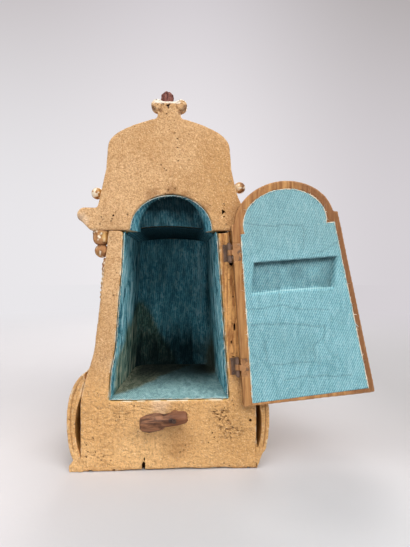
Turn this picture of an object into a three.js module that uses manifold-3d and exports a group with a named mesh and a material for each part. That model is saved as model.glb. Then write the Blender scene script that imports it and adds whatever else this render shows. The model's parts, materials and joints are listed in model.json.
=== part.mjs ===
// Carved wooden reliquary: a hollowed body under a bell-shaped gable, with a cloth-lined relic chamber,
// a hinged door at the back and a wooden turn button that keeps the door shut.
// X points right as seen from the door side, Y runs from the door side to the gilded front, Z is up.
import * as THREE from 'three';
import { mergeVertices } from 'three/addons/utils/BufferGeometryUtils.js';
import Module from 'manifold-3d';

const wasm = await Module();
wasm.setup();

// Body block, millimetres: half widths are measured on the door side.
const BODY_TOP = 209.5;
const BODY_DEPTH = 152;
const TOP_HALF = 52.5;
const WAIST_Z = 118;
const WAIST_HALF = 63.8;
const FLARE_FOOT_Z = 56;
const BASE_HALF = 77;
const FRONT_NARROWING = 6;
const FLARE_STEPS = 8;

// Relic chamber inside the body block.
const FLOOR_Z = 61;
const FRONT_WALL = 12;
const STILE_TOP = 9.8;
const STILE_BASE = 24;
const FAR_FLOOR_INSET = 7;
const FAR_TOP_INSET = 2.2;

// Gable board, heights above the top of the body.
const GABLE_THICK = 24;
const EAVE_OVERHANG = 16;
const TIP_REACH = 11.2;
const TIP_R = 6.4;
const TIP_Z = 13.2;
const TIP_UNDERCUT_DEG = 70;
const GABLE_SWELL = 2.2;
const COVE_TOP_Z = 53;
const COVE_HOLLOW = 6.3;
const LEFT_LEDGE = 10;
const RIGHT_LEDGE = 1.5;
const SHOULDER_DRAW = 1.3;
const SHOULDER_Z = 72;
const DOME_TOP_HALF = 14;
const DOME_TOP_Z = 97.5;
const NECK_HALF = 10.1;
const NECK_Z = 101.5;
const NECK_TOP_Z = 113;
const VOLUTE_R = 5.4;
const VOLUTE_X = 10.35;
const VOLUTE_Z = 109.7;
const VOLUTE_THICK = 8;
// Shapes of the cove's and the dome's curves, as shares of their rise and of their width.
const COVE_LIFT = 0.37;
const COVE_FULLNESS = 0.84;
const DOME_SWELL = 0.43;
const DOME_HIP = 0.61;
const DOME_DROP = 0.255;

// Arched niche in the gable board, a little off centre, and the shallow vault of the chamber behind it.
const NICHE_HALF = 36.6;
const NICHE_RISE = 31.5;
const NICHE_DEPTH = 20;
const NICHE_SPLAY = 7.5;
const NICHE_LIFT = 2;
const ARCH_SHIFT = 1.7;
const VAULT_HALF = 39.3;
const VAULT_RISE = 6.5;

// Finial peg, gable beads and hidden dowels.
const PEG_R = 5.7;
const PEG_X = -2;
const PEG_Y = 8;
const PEG_SEAT = 10;
const PEG_HEIGHT = 10.8;
const PEG_ROUNDING = 3.6;
const BEAD_R = 5.4;
const LEFT_BEAD_Z = 34.2;
const RIGHT_BEAD_Z = 40.5;
const BEAD_TENON_R = 1.6;
const BEAD_TENON = 6;
const DOWEL_R = 2.5;
const DOWEL_HALF_LENGTH = 10;

// Cornice board and bell roof.
const CORNICE_HEIGHT = 16;
const CORNICE_REACH = 16;
const ROOF_INSET = 1.5;
const ROOF_FRONT_INSET = 4;
const ROOF_TOP_Z = 96;
const ROOF_TOP_DEPTH = 10;
const ROOF_STEPS = 10;
const ROOF_SQUARENESS = 0.55;
// Cornice profile and roof ogee, as shares of their reach and height.
const CORNICE_PROFILE = [[0.25, 0], [0.25, 0.2], [0.6, 0.4], [0.7, 0.65], [1, 0.75], [1, 1]];
const OGEE_FOOT = [0.6, 0.05];
const OGEE_CROWN = [0.74, 0.85];

// Bombé base panels: reaches are measured outward from the base block.
const PANEL_TOP_Z = 88;
const PANEL_BULGE = 11.6;
const PANEL_BULGE_Z = 46;
const PANEL_ANKLE = 6.1;
const PANEL_ANKLE_Z = 10;
const PANEL_FOOT = 9.8;
const SLOT_FOOT_Z = 13.6;
const SLOT_TOP_Z = 66;
const SLOT_WIDTH = 5;
// Fullness of the panel's curves, as shares of its bulge and heights.
const PANEL_LEAN = 0.35;
const PANEL_EASE = 0.14;
const PANEL_FULLNESS = 0.5;
const PANEL_TUCK = 0.25;

// Corner capitals and the leaf drops under them.
const CUP_R = 7.4;
const CUP_HEIGHT = 11.5;
const BALL_R = 6;
const CAPITAL_OUTSET = 7.4;
const CAPITAL_INSET_Y = 7.6;
const LEAF_LENGTH = 22;
const LEAF_WIDTH = 11;
const LEAF_PROUD = 2.8;
const LEAF_COUNT = 3;
const LEAF_SHRINK = 0.74;

// Front ornament.
const FRAME_HALF = 37;
const FRAME_ABOVE_PANEL = 6;
const FRAME_BELOW_TOP = 8;
const FRAME_WIDTH = 8;
const FRAME_THICK = 7;
const SUN_DROP = 10;
const RAY_COUNT = 24;
const RAY_CLEARANCE = 1.5;
const RAY_STEP = 6;
const RAY_THICK = 3.5;
const BOSS_R = 12;
const BOSS_RISE = 6;

// Door board, overlaps onto the frame round the opening, and the recess in its inner face.
const DOOR_THICK = 8;
const HINGE_OVERLAP = 6;
const FREE_OVERLAP = 3.3;
const ARCH_OVERLAP = 7.4;
const ARCH_DROP = 2.9;
const SHOULDER_OVERLAP = 4;
const BOTTOM_OVERLAP = 4.8;
const DOOR_REST_DEG = 180;
const RECESS_HEIGHT = 28.6;
const RECESS_DEPTH = 5;
const RECESS_BELOW_TOP = 32.7;
const RECESS_LEAN = 0.24;
const RECESS_SLOPE = 0.06;
const RECESS_HINGE_MARGIN = 5;
const RECESS_FREE_MARGIN = 6;

// Iron hinges.
const HINGE_ABOVE_FLOOR = 29.5;
const HINGE_BELOW_TOP = 19.5;
const HINGE_LENGTH = 15;
const LEAF_REACH = 6.4;
const LEAF_THICK = 0.9;
const KNUCKLE_R = 2.2;
const PIN_R = 1;
const PIN_OFFSET = 2.6;
const PIN_CAP_R = 1.7;
const PIN_CAP = 0.8;
const NAIL_HEAD_R = 1.2;
const NAIL_SHANK_R = 0.7;
const NAIL_LENGTH = 3.6;

// Turn button.
const BUTTON_X = 4.8;
const BUTTON_TONGUE = 30;
const BUTTON_HEEL = 11.5;
const BUTTON_HALF = 7.3;
const BUTTON_HEEL_HALF = 5.6;
const BUTTON_WAIST = 8.6;
const BUTTON_CHAMFER = 2.4;
const BUTTON_BAR_THICK = 6.4;
const BUTTON_POST_R = 5.2;
const BUTTON_DROP = 2.4;
const BUTTON_DIP_DEG = 9;
const PIVOT_R = 1.3;
const PIVOT_HEAD_R = 1.8;
const PIVOT_HEAD = 1.6;
const PIVOT_DEPTH = 14;

// Cloth and clearances.
const CLOTH = 0.8;
const SEAT = 0.3;
const CLOTH_EDGE = 1.8;
const CLOTH_SHOULDER = 5.3;
const CLOTH_FOOT = 2.6;
const MITRE_GAP = 0.25;
const SWING_GAP = 0.6;
const PAST = 2;

// Facets of round pieces, steps along curves and the distance within which points are one.
const ROUND = 16;
const SMALL_ROUND = 10;
const CURVE_STEPS = 8;
const SAME_POINT = 1e-4;

// Sizes that follow from the ones above.
const CHAMBER_DEPTH = BODY_DEPTH - FRONT_WALL;
const MOUTH_TOP_HALF = TOP_HALF - STILE_TOP;
const MOUTH_FLOOR_HALF = BASE_HALF - STILE_BASE;
const MOUTH_SLOPE = (MOUTH_FLOOR_HALF - MOUTH_TOP_HALF) / (BODY_TOP - FLOOR_Z);
const MOUTH_TILT = Math.atan(MOUTH_SLOPE);
const EAVE_HALF = TOP_HALF + EAVE_OVERHANG;
const GABLE_HALF = TOP_HALF + GABLE_SWELL;
const FRAME_SILL_Z = PANEL_TOP_Z + FRAME_ABOVE_PANEL;
const FRAME_SPRING_Z = BODY_TOP - FRAME_BELOW_TOP - FRAME_HALF;
const SUN_Z = FRAME_SPRING_Z - SUN_DROP;
const LONG_RAY = FRAME_HALF - FRAME_WIDTH - RAY_CLEARANCE;
const SHORT_RAY = LONG_RAY - RAY_STEP;
const RAY_ROOT = BOSS_R + SEAT;
const PIN_STANDOFF = SEAT + DOOR_THICK / 2;
const DOOR_OUTER_Y = -SEAT - DOOR_THICK;
const DOOR_BOTTOM_Z = FLOOR_Z - BOTTOM_OVERLAP;
const BUTTON_Z = DOOR_BOTTOM_Z - BUTTON_POST_R - BUTTON_DROP;

// Finishes.
const finish = (color, roughness, metalness = 0) =>
  new THREE.MeshStandardMaterial({ color, roughness, metalness });
const OCHRE = finish(0xd7ac7e, 0.75);
const GILT = finish(0xc79a45, 0.42, 0.7);
const BARE_WOOD = finish(0xa9764a, 0.7);
const DARK_WOOD = finish(0x7a5442, 0.6);
const BOLE_WOOD = finish(0x8a4a33, 0.8);
const IRON = finish(0x4a4644, 0.6, 0.8);
const TURQUOISE = finish(0x84b7bf, 0.95);

// Solids from closed meshes, and meshes from solids.
function solid(geometry) {
  const bare = geometry.clone();
  bare.deleteAttribute('normal');
  bare.deleteAttribute('uv');
  const merged = mergeVertices(bare, SAME_POINT);
  const corners = [...merged.index.array];
  const triangles = [];
  for (let i = 0; i < corners.length; i += 3) {
    const [a, b, c] = corners.slice(i, i + 3);
    if (a !== b && b !== c && c !== a) triangles.push(a, b, c);
  }
  return new wasm.Manifold(new wasm.Mesh({
    numProp: 3,
    vertProperties: new Float32Array(merged.attributes.position.array),
    triVerts: new Uint32Array(triangles),
  }));
}

function geometryOf(manifold) {
  const mesh = manifold.getMesh();
  const geometry = new THREE.BufferGeometry();
  geometry.setAttribute('position', new THREE.BufferAttribute(mesh.vertProperties, 3));
  geometry.setIndex(new THREE.BufferAttribute(mesh.triVerts, 1));
  geometry.computeVertexNormals();
  return geometry;
}

const cut = (body, ...tools) =>
  geometryOf(tools.reduce((rest, tool) => rest.subtract(solid(tool)), solid(body)));

const join = (...bodies) =>
  geometryOf(bodies.map(solid).reduce((whole, body) => whole.add(body)));

// Moves every vertex to the place that a function gives for it.
function remap(geometry, place) {
  const position = geometry.attributes.position;
  const point = new THREE.Vector3();
  for (let i = 0; i < position.count; i++) {
    const moved = place(point.fromBufferAttribute(position, i));
    position.setXYZ(i, moved.x, moved.y, moved.z);
  }
  geometry.computeVertexNormals();
  return geometry;
}

// A shape drawn in X and Z, made solid from one depth to another.
function plate(shape, fromY, toY) {
  const options = { depth: toY - fromY, bevelEnabled: false, curveSegments: ROUND };
  const geometry = new THREE.ExtrudeGeometry(shape, options);
  geometry.rotateX(Math.PI / 2);
  return geometry.translate(0, toY, 0);
}

// A solid through rings of equal point counts that turn anticlockwise round the way they follow.
// Each quad between two rings is split along its shorter diagonal.
function loft(rings) {
  const count = rings[0].length;
  const points = rings.flat();
  const last = points.length - count;
  const index = [];
  for (let start = 0; start < last; start += count) {
    for (let i = 0; i < count; i++) {
      const a = start + i;
      const b = start + (i + 1) % count;
      const c = b + count;
      const d = a + count;
      const splitAtA = points[a].distanceTo(points[c]) <= points[b].distanceTo(points[d]);
      index.push(...(splitAtA ? [a, b, c, a, c, d] : [a, b, d, b, c, d]));
    }
  }
  for (let i = 1; i + 1 < count; i++) {
    index.push(0, i + 1, i, last, last + i, last + i + 1);
  }
  const geometry = new THREE.BufferGeometry().setFromPoints(points);
  geometry.setIndex(index);
  geometry.computeVertexNormals();
  return geometry;
}

const box = (x0, x1, y0, y1, z0, z1) =>
  new THREE.BoxGeometry(x1 - x0, y1 - y0, z1 - z0)
    .translate((x0 + x1) / 2, (y0 + y1) / 2, (z0 + z1) / 2);

// Round pieces turned about Z, and rods along each direction.
const turned = (points) => new THREE.LatheGeometry(points, ROUND).rotateX(Math.PI / 2);

const sidesOf = (radius) => (radius < 2 * KNUCKLE_R ? SMALL_ROUND : ROUND);

function rodAlongY(radius, fromY, toY, x = 0, z = 0) {
  const rod = new THREE.CylinderGeometry(radius, radius, toY - fromY, sidesOf(radius));
  return rod.translate(x, (fromY + toY) / 2, z);
}

function rodAlongZ(radius, fromZ, toZ, x = 0, y = 0) {
  const rod = new THREE.CylinderGeometry(radius, radius, toZ - fromZ, sidesOf(radius));
  return rod.rotateX(Math.PI / 2).translate(x, y, (fromZ + toZ) / 2);
}

function rodAlongX(radius, fromX, toX, y, z) {
  const rod = new THREE.CylinderGeometry(radius, radius, toX - fromX, sidesOf(radius));
  return rod.rotateZ(Math.PI / 2).translate((fromX + toX) / 2, y, z);
}

const outlineOf = (right, left) =>
  [...right, ...left.toReversed().map((p) => new THREE.Vector2(-p.x, p.y))];
const mirrored = (side) => outlineOf(side, side);
const lerp = THREE.MathUtils.lerp;

// A mesh that carries its piece's name.
function named(name, geometry, material) {
  const mesh = new THREE.Mesh(geometry, material);
  mesh.name = name;
  return mesh;
}

// Body outline: a straight taper above the waist and a soft flare down to the base block.
const bodySide = [new THREE.Vector2(BASE_HALF, 0)];
for (let step = 0; step <= FLARE_STEPS; step++) {
  const share = step / FLARE_STEPS;
  const eased = THREE.MathUtils.smoothstep(share, 0, 1);
  const z = lerp(FLARE_FOOT_Z, WAIST_Z, share);
  bodySide.push(new THREE.Vector2(lerp(BASE_HALF, WAIST_HALF, eased), z));
}
bodySide.push(new THREE.Vector2(TOP_HALF, BODY_TOP));

function halfOn(side, z) {
  const above = Math.max(1, side.findIndex((p) => p.y >= z));
  const low = side[above - 1];
  const high = side[above];
  return lerp(low.x, high.x, (z - low.y) / (high.y - low.y));
}

const narrowed = (y) => 1 - (FRONT_NARROWING / BASE_HALF) * (y / BODY_DEPTH);
const bodyHalf = (z, y = 0) => halfOn(bodySide, z) * narrowed(y);

function bodyBlock(grow) {
  const side = bodySide.map((p) => new THREE.Vector2(p.x + grow, p.y));
  side[0].y -= grow;
  side.at(-1).y += grow;
  const block = plate(new THREE.Shape(mirrored(side)), -grow, BODY_DEPTH + grow);
  return remap(block, (p) => p.setX(p.x * narrowed(p.y)));
}

// Chamber half width at a height and depth.
function chamberHalf(z, y) {
  const rise = (z - FLOOR_Z) / (BODY_TOP - FLOOR_Z);
  const mouth = lerp(MOUTH_FLOOR_HALF, MOUTH_TOP_HALF, rise);
  const inset = lerp(FAR_FLOOR_INSET, FAR_TOP_INSET, rise);
  return mouth - inset * (y / CHAMBER_DEPTH);
}

// A block between two depths whose left and right ends follow functions of height and depth.
function taperedBlock(left, right, fromY, toY, fromZ, toZ) {
  const ring = (y) => [
    new THREE.Vector3(left(fromZ, y), y, fromZ),
    new THREE.Vector3(left(toZ, y), y, toZ),
    new THREE.Vector3(right(toZ, y), y, toZ),
    new THREE.Vector3(right(fromZ, y), y, fromZ),
  ];
  const rings = Array.from({ length: CURVE_STEPS + 1 }, (_, i) => ring(lerp(fromY, toY, i / CURVE_STEPS)));
  return loft(rings);
}

// Hinge line: parallel to the opening's right side and proud of the back.
const pinX = (z) =>
  MOUTH_FLOOR_HALF + (HINGE_OVERLAP + PIN_OFFSET) / Math.cos(MOUTH_TILT) - (z - FLOOR_Z) * MOUTH_SLOPE;
const hingeHeights = { upper: BODY_TOP - HINGE_BELOW_TOP, lower: FLOOR_Z + HINGE_ABOVE_FLOOR };
const nailHeights = { top: HINGE_LENGTH / 3, foot: -HINGE_LENGTH / 3 };
const NAIL_X = -(PIN_OFFSET + LEAF_REACH) / 2;

function onHinge(geometry, z) {
  const placed = geometry.clone().rotateY(-MOUTH_TILT);
  return placed.translate(pinX(z), -PIN_STANDOFF, z);
}

const HALF_HINGE = HINGE_LENGTH / 2;
const frameLeafY = PIN_STANDOFF + SEAT / 2;
const doorLeafY = PIN_STANDOFF - SEAT - SEAT / 2;

function frameMortise() {
  const side = HALF_HINGE + SEAT;
  const depth = frameLeafY + LEAF_THICK + SEAT;
  return box(-LEAF_REACH - SEAT, SEAT - PIN_R, PIN_STANDOFF - PAST, depth, -side, side);
}

function doorMortise() {
  const side = HALF_HINGE + SEAT;
  const floor = doorLeafY - LEAF_THICK - SEAT;
  return box(-LEAF_REACH - PIN_OFFSET - SEAT, 0, floor, PIN_STANDOFF + PAST, -side, side);
}

function nailHole(faceY, way, z) {
  const ends = [faceY - way * PAST, faceY + way * (NAIL_LENGTH + SEAT)].sort((a, b) => a - b);
  return rodAlongY(NAIL_SHANK_R + SEAT, ...ends, NAIL_X - (way < 0 ? PIN_OFFSET / 2 : 0), z);
}

// Holes of a hinge in the frame or in the door, placed on its hinge line.
function hingeCuts(mortise, faceY, way) {
  return Object.values(hingeHeights).flatMap((height) => [
    onHinge(mortise, height),
    ...Object.values(nailHeights).map((z) => onHinge(nailHole(faceY, way, z), height)),
  ]);
}

const dowelX = TOP_HALF - STILE_TOP / 2;
const dowelHole = (side) =>
  rodAlongZ(DOWEL_R + SEAT, BODY_TOP - DOWEL_HALF_LENGTH - SEAT, BODY_TOP + DOWEL_HALF_LENGTH + SEAT,
    side * dowelX, GABLE_THICK / 2);

function bodyGeometry() {
  const edge = (sign) => (z, y) => sign * chamberHalf(z, y);
  const chamber = taperedBlock(edge(-1), edge(1), -PAST, CHAMBER_DEPTH, FLOOR_Z, BODY_TOP + PAST);
  const pivotHole = rodAlongY(PIVOT_R + SEAT, -PAST, PIVOT_DEPTH + SEAT, BUTTON_X, BUTTON_Z);
  return cut(bodyBlock(0), chamber, pivotHole, dowelHole(-1), dowelHole(1),
    ...hingeCuts(frameMortise(), frameLeafY, 1));
}

// Gable outline on one side: round eave tip, ledge, cove, straight shoulder, dome and neck.
const tipTop = TIP_Z + TIP_R;

function gablePath(ledge) {
  const shoulder = GABLE_HALF - SHOULDER_DRAW;
  const path = new THREE.Path();
  const undercut = THREE.MathUtils.degToRad(TIP_UNDERCUT_DEG);
  const tipX = EAVE_HALF + TIP_REACH - TIP_R;
  path.moveTo(EAVE_HALF, 0);
  path.lineTo(tipX + TIP_R * Math.cos(undercut), TIP_Z - TIP_R * Math.sin(undercut));
  path.absarc(tipX, TIP_Z, TIP_R, -undercut, Math.PI / 2, false);
  path.lineTo(tipX - ledge, tipTop);
  path.bezierCurveTo(GABLE_HALF + COVE_HOLLOW, tipTop, GABLE_HALF + COVE_HOLLOW * COVE_FULLNESS,
    lerp(tipTop, COVE_TOP_Z, COVE_LIFT), GABLE_HALF, COVE_TOP_Z);
  path.lineTo(shoulder, SHOULDER_Z);
  const crown = DOME_TOP_Z - SHOULDER_Z;
  const swellZ = SHOULDER_Z + crown * DOME_SWELL;
  const hipX = lerp(DOME_TOP_HALF, shoulder, DOME_HIP);
  path.bezierCurveTo(shoulder, swellZ, hipX, DOME_TOP_Z - crown * DOME_DROP, DOME_TOP_HALF, DOME_TOP_Z);
  path.quadraticCurveTo(NECK_HALF, DOME_TOP_Z, NECK_HALF, NECK_Z);
  path.lineTo(NECK_HALF, NECK_TOP_Z);
  return path.getPoints(CURVE_STEPS);
}

const gableSides = { left: gablePath(LEFT_LEDGE), right: gablePath(RIGHT_LEDGE) };
const aboveTip = (side) => side.slice(side.findIndex((p) => p.y >= tipTop && p.x < EAVE_HALF));
const shoulders = { left: aboveTip(gableSides.left), right: aboveTip(gableSides.right) };
const gableHalf = (z, shoulder) => halfOn(shoulder, Math.max(z, shoulder[0].y));

// The niche, inset evenly from its own walls: towards its back its sides close in and its crown lifts.
function nicheBlock(inset, fromY, toY, footZ) {
  const arch = new THREE.Shape();
  arch.moveTo(NICHE_HALF - inset, footZ);
  arch.lineTo(NICHE_HALF - inset, 0);
  arch.absellipse(0, 0, NICHE_HALF - inset, NICHE_RISE - inset, 0, Math.PI);
  arch.lineTo(inset - NICHE_HALF, footZ);
  const splay = NICHE_SPLAY / NICHE_HALF / NICHE_DEPTH;
  const lift = NICHE_LIFT / NICHE_RISE / NICHE_DEPTH;
  const block = remap(plate(arch, fromY, toY), (p) =>
    p.set(p.x * (1 - splay * p.y), p.y, p.z * (1 + lift * Math.max(p.y, 0))));
  return block.translate(ARCH_SHIFT, 0, BODY_TOP + SEAT);
}

// The vault of the chamber, inset evenly: a flat half ellipse on the top of the body.
function vaultShape(inset, footZ) {
  const arch = new THREE.Shape();
  arch.moveTo(VAULT_HALF - inset, footZ);
  arch.lineTo(VAULT_HALF - inset, BODY_TOP);
  arch.absellipse(0, BODY_TOP, VAULT_HALF - inset, VAULT_RISE - inset, 0, Math.PI);
  arch.lineTo(inset - VAULT_HALF, footZ);
  return arch;
}

const vaultHollow = () => plate(vaultShape(0, BODY_TOP - PAST), NICHE_DEPTH - PAST, CHAMBER_DEPTH);

const beads = {
  left: { side: -1, z: LEFT_BEAD_Z, seatX: gableHalf(LEFT_BEAD_Z, shoulders.left) + SEAT },
  right: { side: 1, z: RIGHT_BEAD_Z, seatX: gableHalf(RIGHT_BEAD_Z, shoulders.right) + SEAT },
};

// A bead's tenon, or the hole for it, with a clearance.
function beadTenon({ side, z, seatX }, clearance) {
  const ends = [seatX - BEAD_TENON - clearance, seatX + BEAD_R].map((x) => side * x);
  const radius = BEAD_TENON_R + clearance;
  return rodAlongX(radius, Math.min(...ends), Math.max(...ends), GABLE_THICK / 2, BODY_TOP + z);
}

function gableGeometry() {
  const outline = outlineOf(gableSides.right, gableSides.left);
  const board = plate(new THREE.Shape(outline), 0, GABLE_THICK);
  const volute = (side) => rodAlongY(VOLUTE_R, 0, VOLUTE_THICK, side * VOLUTE_X, VOLUTE_Z);
  const crest = join(board, volute(-1), volute(1)).translate(0, 0, BODY_TOP + SEAT);
  const pegTop = BODY_TOP + NECK_TOP_Z;
  const pegHole = rodAlongZ(PEG_R + SEAT, pegTop - PEG_SEAT, pegTop + PAST, PEG_X, PEG_Y);
  return cut(crest, nicheBlock(0, -PAST, NICHE_DEPTH, -PAST), vaultHollow(), pegHole, dowelHole(-1),
    dowelHole(1), beadTenon(beads.left, SEAT), beadTenon(beads.right, SEAT));
}

function pegGeometry() {
  const length = PEG_SEAT + PEG_HEIGHT;
  const profile = new THREE.Path();
  profile.moveTo(0, 0);
  profile.lineTo(PEG_R, 0);
  profile.lineTo(PEG_R, length - PEG_ROUNDING);
  profile.quadraticCurveTo(PEG_R, length, PEG_R - PEG_ROUNDING, length);
  profile.lineTo(0, length);
  const stub = turned(profile.getPoints(CURVE_STEPS / 2));
  return stub.translate(PEG_X, PEG_Y, BODY_TOP + NECK_TOP_Z - PEG_SEAT + SEAT);
}

function beadGeometry(bead) {
  const x = bead.side * (bead.seatX + BEAD_R);
  const ball = new THREE.SphereGeometry(BEAD_R, ROUND, ROUND / 2);
  return join(ball.translate(x, GABLE_THICK / 2, BODY_TOP + bead.z), beadTenon(bead, 0));
}

function dowelGeometry(side) {
  return rodAlongZ(DOWEL_R, BODY_TOP - DOWEL_HALF_LENGTH, BODY_TOP + DOWEL_HALF_LENGTH,
    side * dowelX, GABLE_THICK / 2);
}

// Cornice board: steps out from the body in a cove and a flat band, on three sides, hollowed by the vault.
function corniceGeometry() {
  const backY = GABLE_THICK + SEAT;
  const ring = ([reachShare, heightShare]) => {
    const reach = reachShare * CORNICE_REACH;
    const z = BODY_TOP + SEAT + heightShare * CORNICE_HEIGHT;
    const back = TOP_HALF * narrowed(backY) + reach;
    const front = TOP_HALF * narrowed(BODY_DEPTH) + reach;
    return [[-back, backY], [back, backY], [front, BODY_DEPTH + reach], [-front, BODY_DEPTH + reach]]
      .map(([x, y]) => new THREE.Vector3(x, y, z));
  };
  return cut(loft(CORNICE_PROFILE.map(ring)), vaultHollow());
}

// Half-bell roof: an ogee from the cornice back to the gable, with rounded front corners.
function roofGeometry() {
  const backY = GABLE_THICK + SEAT;
  const footZ = CORNICE_HEIGHT + 2 * SEAT;
  const frontY = BODY_DEPTH - ROOF_FRONT_INSET;
  const run = frontY - backY;
  const climb = ROOF_TOP_Z - footZ;
  const bend = ([runShare, climbShare]) =>
    new THREE.Vector2(backY + run * runShare, footZ + climb * climbShare);
  const ogee = new THREE.CubicBezierCurve(new THREE.Vector2(frontY, footZ), bend(OGEE_FOOT),
    bend(OGEE_CROWN), new THREE.Vector2(backY + ROOF_TOP_DEPTH, ROOF_TOP_Z));
  const ring = ({ x: front, y: z }) => {
    const half = Math.min(gableHalf(z, shoulders.right), GABLE_HALF) - ROOF_INSET;
    return Array.from({ length: ROUND + 1 }, (_, i) => {
      const turn = (Math.PI * i) / ROUND;
      const across = Math.sign(Math.cos(turn)) * Math.abs(Math.cos(turn)) ** ROOF_SQUARENESS;
      const along = i === ROUND ? 0 : Math.abs(Math.sin(turn)) ** ROOF_SQUARENESS;
      return new THREE.Vector3(half * across, lerp(backY, front, along), BODY_TOP + z);
    });
  };
  return loft(ogee.getPoints(ROOF_STEPS).map(ring));
}

// Bombé panel section: an outer swell, an inner face on the block and a slot between them.
function panelSection(innerAt) {
  const outer = new THREE.Path();
  outer.moveTo(bodyHalf(PANEL_TOP_Z) - BASE_HALF + SEAT, PANEL_TOP_Z);
  const swell = PANEL_TOP_Z - PANEL_BULGE_Z;
  outer.bezierCurveTo(PANEL_BULGE * PANEL_LEAN, PANEL_TOP_Z - swell * PANEL_EASE,
    PANEL_BULGE, PANEL_BULGE_Z + swell * PANEL_FULLNESS, PANEL_BULGE, PANEL_BULGE_Z);
  const tuck = PANEL_BULGE_Z - PANEL_ANKLE_Z;
  outer.bezierCurveTo(PANEL_BULGE, PANEL_BULGE_Z - tuck * PANEL_FULLNESS,
    PANEL_ANKLE + PANEL_BULGE * PANEL_TUCK, PANEL_ANKLE_Z + tuck * PANEL_EASE, PANEL_ANKLE, PANEL_ANKLE_Z);
  outer.lineTo(PANEL_FOOT, PANEL_ANKLE_Z / 2);
  outer.lineTo(PANEL_FOOT, 0);
  const slot = new THREE.QuadraticBezierCurve(
    new THREE.Vector2(SEAT, SLOT_FOOT_Z), new THREE.Vector2(2 * SLOT_WIDTH, (SLOT_FOOT_Z + SLOT_TOP_Z) / 2),
    new THREE.Vector2(innerAt(SLOT_TOP_Z), SLOT_TOP_Z));
  const seatHeights = [...bodySide.map((p) => p.y), PANEL_TOP_Z]
    .filter((z) => z > SLOT_TOP_Z && z <= PANEL_TOP_Z)
    .sort((a, b) => a - b);
  const proud = outer.getPoints(CURVE_STEPS).filter((p) => p.x > innerAt(p.y) + SEAT);
  const seat = seatHeights.map((z) => new THREE.Vector2(innerAt(z), z)).filter((p) => p.y < proud[0].y);
  return new THREE.Shape([...proud, new THREE.Vector2(SEAT, 0), ...slot.getPoints(CURVE_STEPS), ...seat]);
}

const onFlare = (z) => bodyHalf(z) - BASE_HALF + SEAT;
const onFront = () => SEAT;

function sidePanelGeometry(side) {
  return remap(plate(panelSection(onFlare), 0, 1), (p) => {
    const reach = p.x;
    const endY = BODY_DEPTH + reach - MITRE_GAP;
    const y = endY * (side > 0 ? p.y : 1 - p.y);
    return p.set(side * (BASE_HALF + reach) * narrowed(Math.min(y, BODY_DEPTH)), y, p.z);
  });
}

function frontPanelGeometry() {
  return remap(plate(panelSection(onFront), 0, 1), (p) => {
    const half = (BASE_HALF + p.x) * narrowed(BODY_DEPTH) - MITRE_GAP;
    return p.set(lerp(half, -half, p.y), BODY_DEPTH + p.x, p.z);
  });
}

// Cup-and-ball capital, seated against the body's side under the eave.
function capitalGeometry(side, y) {
  const ballZ = -CUP_HEIGHT - BALL_R;
  const outline = new THREE.Path();
  outline.absarc(0, ballZ, BALL_R, -Math.PI / 2, Math.PI / 3, false);
  outline.quadraticCurveTo(CUP_R, -CUP_HEIGHT, CUP_R, -CUP_HEIGHT / 2);
  outline.lineTo(CUP_R, 0);
  outline.lineTo(0, 0);
  const points = outline.getPoints(CURVE_STEPS);
  points[0].x = 0;
  const x = side * (bodyHalf(BODY_TOP, y) + CAPITAL_OUTSET);
  return cut(turned(points).translate(x, y, BODY_TOP), bodyBlock(SEAT));
}

// Leaf drop: husks of falling size that overlap down the body's side.
function leafDropGeometry(side, y) {
  let z = BODY_TOP - CUP_HEIGHT - 2 * BALL_R - SEAT;
  let size = 1;
  const husks = [];
  for (let i = 0; i < LEAF_COUNT; i++) {
    const length = LEAF_LENGTH * size;
    const husk = new THREE.SphereGeometry(1, SMALL_ROUND, CURVE_STEPS).rotateX(Math.PI / 2);
    husk.scale(LEAF_PROUD * size, (LEAF_WIDTH / 2) * size, length / 2);
    husks.push(husk.translate(side * bodyHalf(z - length / 2, y), y, z - length / 2));
    z -= length * LEAF_SHRINK;
    size *= LEAF_SHRINK;
  }
  return cut(join(...husks), bodyBlock(SEAT));
}

// Front ornament: an arched frame round a sun of long and short rays with a domed boss.
const frontFace = BODY_DEPTH + SEAT;

function archShape(inset) {
  const arch = new THREE.Shape();
  arch.moveTo(FRAME_HALF - inset, FRAME_SILL_Z + inset);
  arch.lineTo(FRAME_HALF - inset, FRAME_SPRING_Z);
  arch.absarc(0, FRAME_SPRING_Z, FRAME_HALF - inset, 0, Math.PI, false);
  arch.lineTo(inset - FRAME_HALF, FRAME_SILL_Z + inset);
  return arch;
}

function frameGeometry() {
  const shape = archShape(0);
  shape.holes.push(archShape(FRAME_WIDTH));
  return plate(shape, frontFace, frontFace + FRAME_THICK);
}

function raysGeometry() {
  const points = [];
  for (let i = 0; i < 2 * RAY_COUNT; i++) {
    const turn = (Math.PI * i) / RAY_COUNT;
    const tip = i % 4 === 0 ? LONG_RAY : SHORT_RAY;
    const reach = i % 2 === 0 ? tip : RAY_ROOT;
    points.push(new THREE.Vector2(reach * Math.cos(turn), SUN_Z + reach * Math.sin(turn)));
  }
  return plate(new THREE.Shape(points), frontFace, frontFace + RAY_THICK);
}

function bossGeometry() {
  const dome = new THREE.Path();
  dome.moveTo(0, 0);
  dome.lineTo(BOSS_R, 0);
  dome.absellipse(0, 0, BOSS_R, BOSS_RISE, 0, Math.PI / 2);
  const points = dome.getPoints(CURVE_STEPS);
  points.at(-1).x = 0;
  return turned(points).rotateX(-Math.PI / 2).translate(0, frontFace + RAY_THICK + SEAT, SUN_Z);
}

// Cloth linings of the chamber: thin pieces laid just inside each wall.
const inside = SEAT + CLOTH;
const clear = inside + SEAT;
const liningTop = BODY_TOP - clear;

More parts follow.
